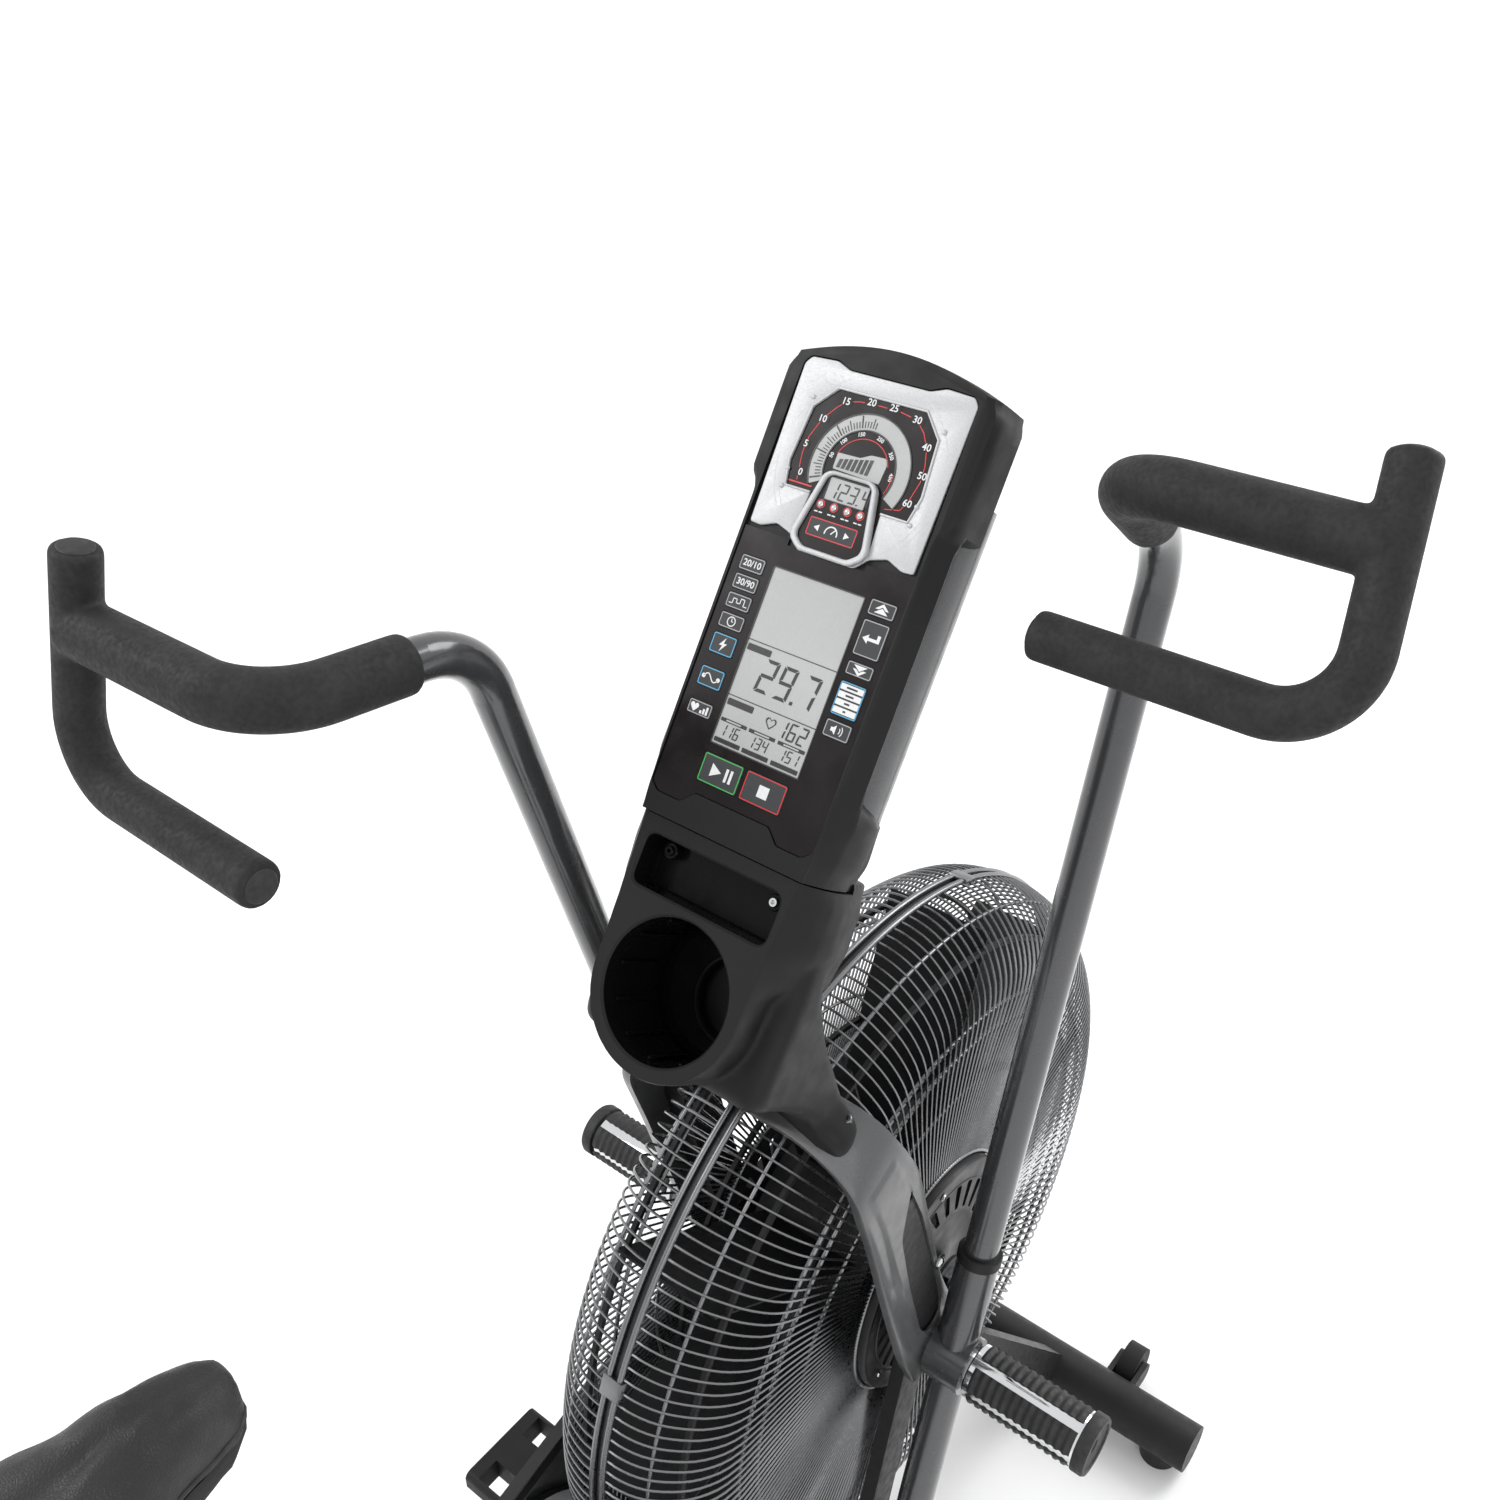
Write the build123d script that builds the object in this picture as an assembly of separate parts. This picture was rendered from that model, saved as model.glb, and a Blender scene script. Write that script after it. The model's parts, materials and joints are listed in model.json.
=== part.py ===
"""Air bike: a fan resistance exercise bike with swinging handlebars, in separate pieces.

The rider faces +X, +Y is the rider's left and +Z is up.  The origin lies on the floor under
the middle of the bike.  Millimetres.
"""
from build123d import *
from math import sin, cos, radians, hypot, atan2, degrees
import os

os.makedirs("parts", exist_ok=True)

# ---------------------------------------------------------------- driving dimensions
HALF_LENGTH = 670            # floor to floor, from the middle to each end
FAN_X, FAN_Z = 298, 490      # fan axle
RIM_R = 357.5                # wire cage, twin rim rings
CAGE_TURN = 40               # wires in one cage half
WIRE = 1.5                   # half thickness of a cage wire
SEAM = (103.1, 0, 1055.6)    # where the console face meets the lower housing face
FACE_TILT = 56.1             # console face above the horizontal, degrees
LOWER_TILT = 54.4            # lower housing face above the horizontal, degrees
BORE_R, BORE_V, BORE_DEEP = 49, -104.5, 75    # drink holder
SEAM_GROOVE = 0.8
PIVOT_X, PIVOT_Z = 241, 480  # handlebar pivot, also the axis of the foot pegs
ARM_Y = 141.4                # plane of each handlebar tube
SWING = {-1: 13.9, 1: -16.2}  # handlebar angle at rest, by side (-1 is the rider's right)
LEVER = 250                  # pivot to the lower end of a handlebar
CRANK_X, CRANK_Z = -95, 300  # crank axle
CRANK_ARM = 170              # crank axle to pedal spindle
THROW = 71                   # crank axle to connecting rod pin
CRANK_ANGLE = 143.5          # right crank, from +X towards +Z
ROD_Y = (112, 124)           # plane of the connecting rods
PULLEY_R, FAN_PULLEY_R = 110, 32
BELT_Y = (86, 92)
LEG_Y = (96, 117.5)          # plane of the side legs
SEAT_FOOT = (-300, 0, 90)    # where the seat tube's axis meets the base beam
SEAT_LEAN = 10.36            # seat tube, back from the vertical, degrees
SEAT_TUBE, SEAT_POST = 528, (330, 800)
RUNNING = 0.05               # radial clearance of a running fit
GAP = 0.3                    # clearance between pieces that do not touch
FOOT_Y = 250                 # rubber feet and levellers, from the middle

FAN = (FAN_X, FAN_Z)
PIVOT = (PIVOT_X, PIVOT_Z)
CRANK = (CRANK_X, CRANK_Z)
SIDES = {"right": -1, "left": 1}


# ---------------------------------------------------------------- small tools
def save(name, *solids):
    """Write one node: one solid, or a group of separate solids."""
    found = [s for item in solids for s in item.solids()]
    shape = found[0] if len(found) == 1 else Compound(children=found)
    shape.label = name
    export_step(shape, f"parts/{name}.step")


def lay(sketch, y0, y1):
    """Solid between y0 and y1 from a sketch whose x and y are the bike's X and Z."""
    low, high = min(y0, y1), max(y0, y1)
    return extrude(Plane.XZ.offset(-high) * sketch, amount=high - low)


def outline(points):
    return make_face(Polyline(*points, close=True))


def prism(points, y0, y1):
    return lay(outline(points), y0, y1)


def pin(centre, radius, y0, y1):
    """Cylinder along Y."""
    return lay(Pos(*centre) * Circle(radius), y0, y1)


def flat_bar(start, end, width, y0, y1):
    """Flat bar with round ends between two points of the XZ plane."""
    dx, dz = end[0] - start[0], end[1] - start[1]
    middle = ((start[0] + end[0]) / 2, (start[1] + end[1]) / 2)
    slot = SlotCenterToCenter(hypot(dx, dz), width)
    return lay(Pos(*middle) * Rot(0, 0, degrees(atan2(dz, dx))) * slot, y0, y1)


def block(x0, x1, y0, y1, z0, z1):
    return Pos((x0 + x1) / 2, (y0 + y1) / 2, (z0 + z1) / 2) * Box(x1 - x0, y1 - y0, z1 - z0)


def post(x, y, radius, z0, z1):
    """Cylinder along Z."""
    return Pos(x, y, (z0 + z1) / 2) * Cylinder(radius, z1 - z0)


def tube(points, radius, bends=None):
    """Round bar along straight runs joined by tangent arcs."""
    path = FilletPolyline(*points, radius=bends) if bends else Line(points[0], points[-1])
    return sweep(Plane(origin=path @ 0, z_dir=path % 0) * Circle(radius), path=path)


def around(centre, radius, angle):
    return (centre[0] + radius * cos(radians(angle)), centre[1] + radius * sin(radians(angle)))


def tilted(angle):
    """Plane through the seam: x is the rider's right, y runs up the face, z faces the rider."""
    turn = radians(angle)
    return Plane(origin=SEAM, x_dir=(0, -1, 0), z_dir=(-sin(turn), 0, cos(turn)))


FACE, LOWER = tilted(FACE_TILT), tilted(LOWER_TILT)


def plate(sketch, n0, n1, plane=FACE):
    return extrude(plane.offset(n0) * sketch, amount=n1 - n0)


def panel(u0, u1, v0, v1, round_by=0):
    width, height = u1 - u0, v1 - v0
    shape = RectangleRounded(width, height, round_by) if round_by else Rectangle(width, height)
    return Pos((u0 + u1) / 2, (v0 + v1) / 2) * shape


def mirrored(points):
    """A closed outline from the points of its right half."""
    return outline(list(points) + [(-u, v) for u, v in reversed(points)])


# ---------------------------------------------------------------- base and frame
BEAM_HALF, BEAM_Z = 25, (62, 110)
STAB_HALF = 285
REAR_R, REAR_Z = 32, 44
FRONT_X, FRONT_R, FRONT_Z = 584, 28, 40
WHEEL_R, WHEEL_Z = 28, 34
WHEEL_X = HALF_LENGTH - WHEEL_R
REAR_X = REAR_R - HALF_LENGTH
WHEEL_Y = (170, 192)
CROSS = (150, 92)            # low cross bar under the cage that the rear legs stand on
LEG_TOP = (186, 700)
SEAT_AXIS = Plane(origin=SEAT_FOOT, x_dir=(0, 1, 0),
                  z_dir=(-sin(radians(SEAT_LEAN)), 0, cos(radians(SEAT_LEAN))))
POST_HALF, WALL = 24, 4
PIN_S, PIN_R = 490, 5        # height adjusting pin, place along the seat tube
BEARING_R, AXLE_R = 24, 12
FAN_AXLE_R, FAN_BEARING_R = 8, 20
SHAFT_R, PEG_R, PEG_Y = 12, 26.5, (163, 280)


def seat_bar(half, s0, s1):
    return extrude(SEAT_AXIS.offset(s0) * Rectangle(2 * half, 2 * half), amount=s1 - s0)


def seat_side(radius, d0, d1):
    """Cylinder square to the seat tube, on its front side, from d0 to d1 off the axis."""
    spot = SEAT_AXIS.offset(PIN_S)
    ahead = Vector(cos(radians(SEAT_LEAN)), 0, sin(radians(SEAT_LEAN)))
    base = Plane(origin=spot.origin + ahead * d0, x_dir=(0, 1, 0), z_dir=ahead)
    return extrude(base * Circle(radius), amount=d1 - d0)


def main_frame():
    beam = block(REAR_X + 20, FRONT_X - FRONT_R, -BEAM_HALF, BEAM_HALF, *BEAM_Z)
    tower = block(CRANK_X - 30, CRANK_X + 30, -BEAM_HALF, BEAM_HALF, BEAM_Z[0], CRANK_Z)
    shell = pin(CRANK, BEARING_R + 8, -36, 36)
    seat = seat_bar(POST_HALF + WALL, -10, SEAT_TUBE) + seat_side(11, POST_HALF, 46)
    brace = flat_bar((-225, 90), (-322, 240), 34, -10, 10)
    frame = beam + tower + shell + seat + brace
    frame -= pin(CRANK, BEARING_R, -37, 37)
    frame -= seat_bar(POST_HALF + RUNNING, 40, SEAT_TUBE + 1)
    frame -= seat_side(PIN_R + RUNNING, 0, 47)
    frame += block(CROSS[0] - 16, CROSS[0] + 16, -109, 109, CROSS[1] - 14, CROSS[1] + 14)
    for side in SIDES.values():
        y0, y1 = side * LEG_Y[0], side * LEG_Y[1]
        legs = flat_bar(PIVOT, CROSS, 38, y0, side * 109)
        legs += flat_bar(PIVOT, LEG_TOP, 40, y0, y1)
        legs += flat_bar(PIVOT, (FRONT_X - 22, 62), 38, y0, y1)
        legs += flat_bar(PIVOT, FAN, 46, y0, side * 99)
        legs += pin(PIVOT, 26, y0, y1)
        legs -= pin(PIVOT, SHAFT_R, side * 90, side * 125)
        legs -= pin(FAN, FAN_AXLE_R, side * 90, side * 125)
        frame += legs
    frame -= pin((REAR_X, REAR_Z), REAR_R, -100, 100)
    frame -= pin((FRONT_X, FRONT_Z), FRONT_R, -130, 130)
    return frame


def rear_stabilizer():
    bar = pin((REAR_X, REAR_Z), REAR_R, -STAB_HALF, STAB_HALF)
    for side in SIDES.values():
        bar -= post(REAR_X, side * FOOT_Y, 5 + RUNNING, 0, REAR_Z + 10)
    return bar


def front_stabilizer():
    bar = pin((FRONT_X, FRONT_Z), FRONT_R, -STAB_HALF, STAB_HALF)
    for side in SIDES.values():
        bar += post(FRONT_X, side * FOOT_Y, 22, 0, 24)
        for edge in (WHEEL_Y[0] - 7, WHEEL_Y[1] + 1):
            bar += flat_bar((FRONT_X, FRONT_Z), (WHEEL_X, WHEEL_Z), 26,
                            side * edge, side * (edge + 6))
        bar += pin((WHEEL_X, WHEEL_Z), 5, side * (WHEEL_Y[0] - 2), side * (WHEEL_Y[1] + 3))
    return bar


def leveller(side):
    return post(REAR_X, side * FOOT_Y, 5, 8, REAR_Z) + post(REAR_X, side * FOOT_Y, 22, 0, 9)


def transport_wheel(side):
    y0, y1 = side * (WHEEL_Y[0] + GAP), side * (WHEEL_Y[1] - GAP)
    centre = (WHEEL_X, WHEEL_Z)
    return pin(centre, WHEEL_R, y0, y1) - pin(centre, 5 + RUNNING, y0, y1)


def foot_pegs():
    pegs = []
    for side in SIDES.values():
        peg = pin(PIVOT, SHAFT_R, side * LEG_Y[0], side * PEG_Y[0])
        pegs.append(peg + pin(PIVOT, PEG_R, side * PEG_Y[0], side * PEG_Y[1]))
    return pegs


# ---------------------------------------------------------------- yoke, mast and its cover
BAND_R = (368, 372)
YOKE_Y = (118, 121)
YOKE_SIDE = [(96, 801), (113, 772), (136, 697), (152, 641), (195, 500), (214, 452),
             (268, 452), (277, 490), (240, 585), (210, 690), (188, 756), (143, 827)]
WINDOW = [(176, 738), (166, 690), (187, 610), (216, 520), (252, 520), (222, 610), (196, 690)]


def sector(r0, r1, low, high):
    """Ring sector about the fan axle, between two angles, as a sketch."""
    far = [around(FAN, 2 * r1, low), around(FAN, 2 * r1, high)]
    ring = Pos(*FAN) * (Circle(r1) - Circle(r0))
    return ring & outline([FAN, *far])


def yoke():
    side_face = outline(YOKE_SIDE)
    rim = side_face - offset(side_face, amount=-3)
    rim -= Pos(PIVOT_X, PIVOT_Z - 40) * Rectangle(300, 140)
    body = lay(sector(*BAND_R, 112.6, 123), -YOKE_Y[1], YOKE_Y[1])
    for side in SIDES.values():
        body += lay(side_face - outline(WINDOW), side * YOKE_Y[0], side * YOKE_Y[1])
        body += lay(rim, side * LEG_Y[0], side * YOKE_Y[1])
        body -= pin(PIVOT, SHAFT_R + GAP, side * LEG_Y[0], side * YOKE_Y[1])
        body -= flat_bar(PIVOT, LEG_TOP, 40 + 2 * GAP, side * (LEG_Y[0] - GAP),
                         side * (LEG_Y[1] + GAP))
    return body - lay(Pos(*FAN) * Circle(BAND_R[0]), -LEG_Y[0] + GAP, LEG_Y[0] - GAP)


def mast(spare=0):
    """Lower flat column, bent forward into the wide flat oval behind the console."""
    lower = block(147 - spare, 172 + spare, -25 - spare, 25 + spare, 820, 1062)
    oval = SlotCenterToCenter(84, 64 + 2 * spare)
    side = Plane(origin=FACE.from_local_coords((0, 30 - spare, -50)), x_dir=(0, -1, 0),
                 z_dir=FACE.y_dir)
    upper = extrude(side * oval, amount=230 + 2 * spare)
    return upper + (lower - lay(Pos(*FAN) * Circle(BAND_R[1]), -30, 30))


COVER_SIDE = [(137, 1049), (34, 907), (85, 866), (108, 838), (113, 817), (136, 827),
              (145, 833), (128, 890), (113, 943), (110, 960), (114, 978), (126, 1004)]


def mast_cover():
    body = prism(COVER_SIDE, -78.5, 78.5)
    nose = [(113, 817), (136, 827), (126, 843), (110, 838)]
    for side in SIDES.values():
        body += prism(nose, side * 78, side * 98)
    body -= lay(Pos(*FAN) * Circle(BAND_R[1]), -99, 99)
    body -= plate(panel(-95, 95, -1, 70), -60 - GAP, 10)
    body -= plate(Pos(0, BORE_V) * Circle(BORE_R + 4), -BORE_DEEP - 6, 0, LOWER)
    return body - plate(Rectangle(600, 600), -30, 100, LOWER)


# ---------------------------------------------------------------- console
HOOD_HALF, HOOD_LOW, HOOD_SIDE, HOOD_TOP = 80, 233, 318.5, 331.6
DISPLAY = (-34, 38, 58.5, 181)
POCKET = (-64, 64, 28, 304)
KEYS = {                     # left, right, bottom, top on the console face
    "key_interval_short": (-60, -40, 171, 182),
    "key_interval_long": (-60, -40, 158, 169),
    "key_interval_custom": (-60, -40, 145, 156),
    "key_time_target": (-60, -40, 131.3, 142.3),
    "key_energy_target": (-60, -40, 113.5, 128),
    "key_distance_target": (-60, -40, 90.6, 104.6),
    "key_heart_zones": (-60, -40, 71, 81.3),
    "key_up": (42, 62, 171.4, 182.3),
    "key_enter": (42, 62, 145, 169),
    "key_down": (42, 62, 132, 141.6),
    "key_units_select": (42, 62, 105.5, 128.3),
    "key_sound": (42, 62, 91, 103),
    "key_start": (-34, -1.5, 32, 52.5),
    "key_stop": (1, 34, 32, 52.5),
}
RATE_KEY = (-20, 18, 205.5, 219)


def hood_face():
    base = Polyline((-HOOD_HALF, HOOD_SIDE), (-HOOD_HALF, HOOD_LOW), (HOOD_HALF, HOOD_LOW),
                    (HOOD_HALF, HOOD_SIDE))
    arch = ThreePointArc((HOOD_HALF, HOOD_SIDE), (0, HOOD_TOP), (-HOOD_HALF, HOOD_SIDE))
    return make_face([base, arch])


def gauge_face(grow=0):
    dial = outline([(-33, 300), (33, 300), (47, 285), (50, 249), (47, 233), (26, 233),
                    (28, 205), (20, 196), (-20, 196), (-28, 205), (-26, 233), (-47, 233),
                    (-50, 249), (-47, 285)])
    return offset(dial, amount=grow, kind=Kind.INTERSECTION) if grow else dial


def bezel_face():
    return mirrored([(30, 313), (41, 317), (61, 316), (65, 311), (63.5, 203), (55, 202.5),
                     (43, 207), (30, 203), (22, 196)])


def overlay_face():
    sheet = mirrored([(66, 200), (66, 20), (59, 15), (40, 15), (30, 24)])
    above = mirrored([(70, 203), (55, 202.2), (43, 206.7), (30, 202.7), (22, 195.7)])
    return sheet - (above + panel(-70, 70, 203, 320)) - panel(-30, 30, 195.7, 215)


def lower_face(half, radius):
    straight = panel(-half, half, BORE_V, -SEAM_GROOVE)
    return straight + Pos(0, BORE_V) * Circle(radius)


def console_shell():
    body = plate(hood_face(), -46, 0)
    body += plate(panel(-74, 74, 40, HOOD_LOW + 2), -14, 0)
    body += plate(mirrored([(76, 66), (88, 46), (88, 18), (82, 0)]), -60, 0)
    body += plate(panel(-78, 78, -8, 8), -22, -3)
    body += plate(lower_face(63, 60), -10, 0, LOWER)
    body += plate(lower_face(80, 66), -29.7, -9, LOWER)
    body += plate(Pos(0, BORE_V) * Circle(BORE_R + 3.5), -BORE_DEEP - 4, -29, LOWER)
    body -= plate(Pos(0, BORE_V) * Circle(BORE_R), -BORE_DEEP, 1, LOWER)
    body -= plate(panel(-56, 56, -48.5, -12.5, 8), -24, 1, LOWER)
    body -= plate(panel(*POCKET, 3), -12, 1)
    return body - mast(GAP)


def key_piece(spot):
    inner = (spot[0] + GAP, spot[1] - GAP, spot[2] + GAP, spot[3] - GAP)
    return plate(panel(*inner, 1.5), -1.2, 2.1)


def console_pieces():
    overlay = plate(overlay_face(), 0, 1.5) - plate(panel(*DISPLAY), -1, 2)
    for spot in KEYS.values():
        overlay -= plate(panel(*spot, 1.8), -1, 2)
    save("key_overlay", overlay)
    for name, spot in KEYS.items():
        save(name, key_piece(spot))
    save("bezel_plate", plate(bezel_face(), 0, 2) - plate(gauge_face(GAP), -1, 3))
    save("gauge_panel", plate(gauge_face(), -3, 3) - plate(panel(*RATE_KEY, 1.8), -4, 4))
    inner = (RATE_KEY[0] + GAP, RATE_KEY[1] - GAP, RATE_KEY[2] + GAP, RATE_KEY[3] - GAP)
    save("key_rate_select", plate(panel(*inner, 1.5), -2, 3.8))
    glass = (DISPLAY[0] + 0.2, DISPLAY[1] - 0.2, DISPLAY[2] + 0.2, DISPLAY[3] - 0.2)
    save("main_display", plate(panel(*glass), -4, 1.2))
    save("circuit_board", plate(panel(-60, 60, 34, 290), -8, -6.4))


# ---------------------------------------------------------------- cage, fan and drive
FAN_R, DRUM_R, PADDLES = 332, 88, 10
CAGE_LINE = [(356, 5), (356, 17.5), (353, 29), (348.5, 39.5), (342, 49), (334, 58), (325, 66),
             (313, 73), (300, 78), (283, 81), (245, 80), (117, 78)]   # radius, distance from middle


def cage_half(side):
    """Bent wires in radial planes, welded to the rim ring and two side rings."""
    outer = [(r + WIRE * 0.9, y + WIRE * 0.7) for r, y in CAGE_LINE]
    inner = [(r - WIRE * 0.9, y - WIRE * 0.7) for r, y in reversed(CAGE_LINE)]
    strip = outline([(r, side * y) for r, y in outer + inner])
    wire = Pos(FAN_X, 0, FAN_Z) * extrude(Plane.XY.offset(-WIRE) * strip, amount=2 * WIRE)
    axis = Axis((FAN_X, 0, FAN_Z), (0, 1, 0))
    wires = [wire.rotate(axis, 360 * (n + 0.5) / CAGE_TURN) for n in range(CAGE_TURN)]
    rings = [pin(FAN, r + WIRE, side * (y - WIRE), side * (y + WIRE))
             - pin(FAN, r - WIRE, side * (y - 2 * WIRE), side * (y + 2 * WIRE))
             for r, y in ((RIM_R, 5), (278, 79.5), (118.5, 78))]
    return rings[0].fuse(*rings[1:], *wires)


def hub_covers():
    right = pin(FAN, 115, -86, -77) - pin(FAN, 110, -82, -76) - pin(FAN, 9, -87, -76)
    for n in range(24):
        right -= flat_bar(around(FAN, 82, 15 * n), around(FAN, 92, 15 * n), 5, -87, -76)
    left = pin(FAN, 115, 77, 83) - pin(FAN, 110, 76, 80) - pin(FAN, 40, 76, 84)
    return right, left


def hull(big, small, y0, y1):
    edges = (Pos(*CRANK) * Circle(big)).edges() + (Pos(*FAN) * Circle(small)).edges()
    return lay(make_hull(edges), y0, y1)


def left_shroud():
    cap = hull(135, 55, 83.5, 94.5) - hull(133, 53, 83, 93)
    cap -= pin(CRANK, AXLE_R + 2, 80, 100)
    return cap - pin(FAN, FAN_AXLE_R + 1, 80, 100)


def right_shroud():
    dish = pin(CRANK, 128, -94.5, -83.5) - pin(CRANK, 126, -92.5, -83)
    return dish - pin(CRANK, AXLE_R + 2, -100, -80)


def fan_hub():
    hub = pin(FAN, 30, -70, 74) + pin(FAN, 26, 73, 86) + pin(FAN, FAN_PULLEY_R, *BELT_Y)
    hub += pin(FAN, DRUM_R, -60, -57) + pin(FAN, DRUM_R, 57, 60)
    return hub - pin(FAN, FAN_BEARING_R + RUNNING, -71, 93)


def fan_blades():
    """Ten flat paddles on a drum, tied together by two pairs of hoops."""
    paddle = block(FAN_X + DRUM_R + 0.5, FAN_X + FAN_R, -50, 50, FAN_Z - 1, FAN_Z + 1)
    axis = Axis((FAN_X, 0, FAN_Z), (0, 1, 0))
    blades = [paddle.rotate(axis, 360 * n / PADDLES) for n in range(PADDLES)]
    hoops = [pin(FAN, r, y - 2, y + 2) - pin(FAN, r - 5, y - 3, y + 3)
             for r in (318, 200) for y in (-50, 50)]
    drum = pin(FAN, DRUM_R + 7, -60, 60) - pin(FAN, DRUM_R, -61, 61)
    return drum.fuse(*hoops, *blades)


def belt_loop():
    spare = 0.25
    outer = hull(PULLEY_R + 3, FAN_PULLEY_R + 3, *BELT_Y)
    return outer - hull(PULLEY_R + spare, FAN_PULLEY_R + spare, BELT_Y[0] - 1, BELT_Y[1] + 1)


def crank_pulley():
    wheel = pin(CRANK, PULLEY_R, *BELT_Y) + pin(CRANK, 24, 60, BELT_Y[1])
    for n in range(6):
        wheel -= pin(around(CRANK, 66, 60 * n), 22, 80, 93)
    return wheel - pin(CRANK, AXLE_R, 59, 93)


# ---------------------------------------------------------------- cranks, pedals and rods
PEDAL_Y = (162, 252)
PIN_RADIUS, SPINDLE_R = 10, 7


def crank_angle(side):
    return CRANK_ANGLE if side < 0 else CRANK_ANGLE + 180


def crank_arm(side):
    """Inner throw, rod pin, outer arm and pedal spindle of one side."""
    throw = around(CRANK, THROW, crank_angle(side))
    end = around(CRANK, CRANK_ARM, crank_angle(side))
    arm = flat_bar(CRANK, throw, 40, side * 98, side * 110)
    arm += pin(throw, PIN_RADIUS, side * 97.9 + side, side * 128)
    arm += flat_bar(throw, end, 30, side * 127, side * 143)
    arm += pin(end, SPINDLE_R, side * 142, side * 248)
    return arm - pin(CRANK, AXLE_R, side * 90, side * 115)


def pedal(side):
    end = around(CRANK, CRANK_ARM, crank_angle(side))
    body = Pos(*end) * RectangleRounded(96, 28, 8)
    body = lay(body, side * PEDAL_Y[0], side * PEDAL_Y[1])
    for x in (-30, 30):
        body -= block(end[0] + x - 12, end[0] + x + 12, min(side * 176, side * 238),
                      max(side * 176, side * 238), end[1] - 20, end[1] + 20)
    return body - pin(end, SPINDLE_R + RUNNING, side * 160, side * 249)


def lever_end(side):
    turn = radians(SWING[side])
    return (PIVOT_X - LEVER * sin(turn), PIVOT_Z - LEVER * cos(turn))


def rod(side):
    throw = around(CRANK, THROW, crank_angle(side))
    y0, y1 = side * ROD_Y[0], side * ROD_Y[1]
    body = flat_bar(throw, lever_end(side), 20, side * 114.5, side * 121.5)
    for centre in (throw, lever_end(side)):
        body += pin(centre, 19, y0, y1)
    return body - pin(throw, PIN_RADIUS + RUNNING, side * 110, side * 126)


# ---------------------------------------------------------------- handlebars
TUBE_R, DROP_R, SOCKET_R = 14.7, 12.2, 18
ELBOW = (0, 141.4, 736.6)    # forward, sideways, above the pivot with the arm upright
CORNER = (-140.8, 148.1, 795.9)
JUNCTION = (-145.6, 314.8, 798.4)
DROP = (-189.6, 331.8, 702.9)
GRIP_END = (-190.7, 144.1, 702.6)
STUB = 54
FOAM_R, THIN_FOAM_R = 19.1, 15.4
COLLAR_TOP = 115.7


def arm_place(side):
    return Pos(PIVOT_X, 0, PIVOT_Z) * Rot(0, SWING[side], 0)


def sided(point, side):
    return (point[0], side * point[1], point[2])


def along(start, end, distance):
    run = Vector(*end) - Vector(*start)
    return tuple(Vector(*start) + run.normalized() * distance)


def stub_top():
    return along(JUNCTION, DROP, -STUB)


def handlebar(side):
    def at(point):
        return sided(point, side)
    bar = tube([at((0, ARM_Y, 20)), at(ELBOW), at(CORNER), at(JUNCTION)], TUBE_R, [62, 52])
    bar += tube([at(along(stub_top(), JUNCTION, 4)), at(DROP),
                 at(along(GRIP_END, DROP, 4))], DROP_R, [42])
    bar += tube([at((0, ARM_Y, 12)), at((0, ARM_Y, COLLAR_TOP))], SOCKET_R)
    bar += tube([at((0, ARM_Y, -12)), at((0, ARM_Y, -LEVER))], 16)
    here = arm_place(side) * bar
    here += pin(PIVOT, 26, side * 124, side * 160)
    here += pin(lever_end(side), 20, side * 124.6, side * 158)
    return here - pin(PIVOT, SHAFT_R + RUNNING, side * 120, side * 162)


def grips(side):
    """Foam sleeves: thick on the upper bar, thin on the stub and the drop bar."""
    def at(point):
        return sided(point, side)
    path = [at(along(ELBOW, CORNER, 50)), at(CORNER), at(JUNCTION)]
    thick = tube(path, FOAM_R, [52])
    path = [at(stub_top()), at(DROP), at(GRIP_END)]
    thin = tube(path, THIN_FOAM_R, [42])
    return arm_place(side) * (thick + thin)


# ---------------------------------------------------------------- seat
RAIL_X = SEAT_FOOT[0] - SEAT_POST[1] * sin(radians(SEAT_LEAN))
RAIL_Z = SEAT_FOOT[2] + SEAT_POST[1] * cos(radians(SEAT_LEAN))
RAIL_HALF, RAIL_HIGH = 20, 30
SLIDER_HALF = 60
SADDLE_LOW, SADDLE_HIGH = RAIL_Z + RAIL_HIGH + 9, RAIL_Z + RAIL_HIGH + 84


def seat_post():
    body = seat_bar(POST_HALF, SEAT_POST[0], SEAT_POST[1] - 14)
    return body + block(RAIL_X - 100, RAIL_X + 100, -RAIL_HALF, RAIL_HALF, RAIL_Z - 20,
                        RAIL_Z + RAIL_HIGH)


def seat_slider():
    low, high = RAIL_Z - 2, RAIL_Z + RAIL_HIGH
    body = block(RAIL_X - SLIDER_HALF, RAIL_X + SLIDER_HALF, -25, 25, low, high + 6)
    body -= block(RAIL_X - 101, RAIL_X + 101, -RAIL_HALF - RUNNING, RAIL_HALF + RUNNING,
                  low - 1, high + RUNNING)
    body += block(RAIL_X - 90, RAIL_X + 90, -30, 30, high + 5.5, high + 9)
    return body - pin((RAIL_X, RAIL_Z + 14), PIN_R + RUNNING, -26, -19)


def saddle():
    plan = mirrored([(20, 150), (34, 110), (52, 40), (96, -30), (112, -80), (104, -112),
                     (60, -124)])
    base = Plane(origin=(RAIL_X, 0, SADDLE_LOW), x_dir=(0, -1, 0), z_dir=(0, 0, 1))
    return extrude(base * plan, amount=SADDLE_HIGH - SADDLE_LOW)


def seat_pin():
    return seat_side(PIN_R, POST_HALF + GAP, 50) + seat_side(16, 47, 72)


def slider_knob():
    centre = (RAIL_X, RAIL_Z + 14)
    knob = pin(centre, PIN_R, -30, -RAIL_HALF - GAP) + pin(centre, 21, -52, -28)
    for n in range(6):
        knob -= pin(around(centre, 25, 60 * n), 8, -53, -27)
    return knob


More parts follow.
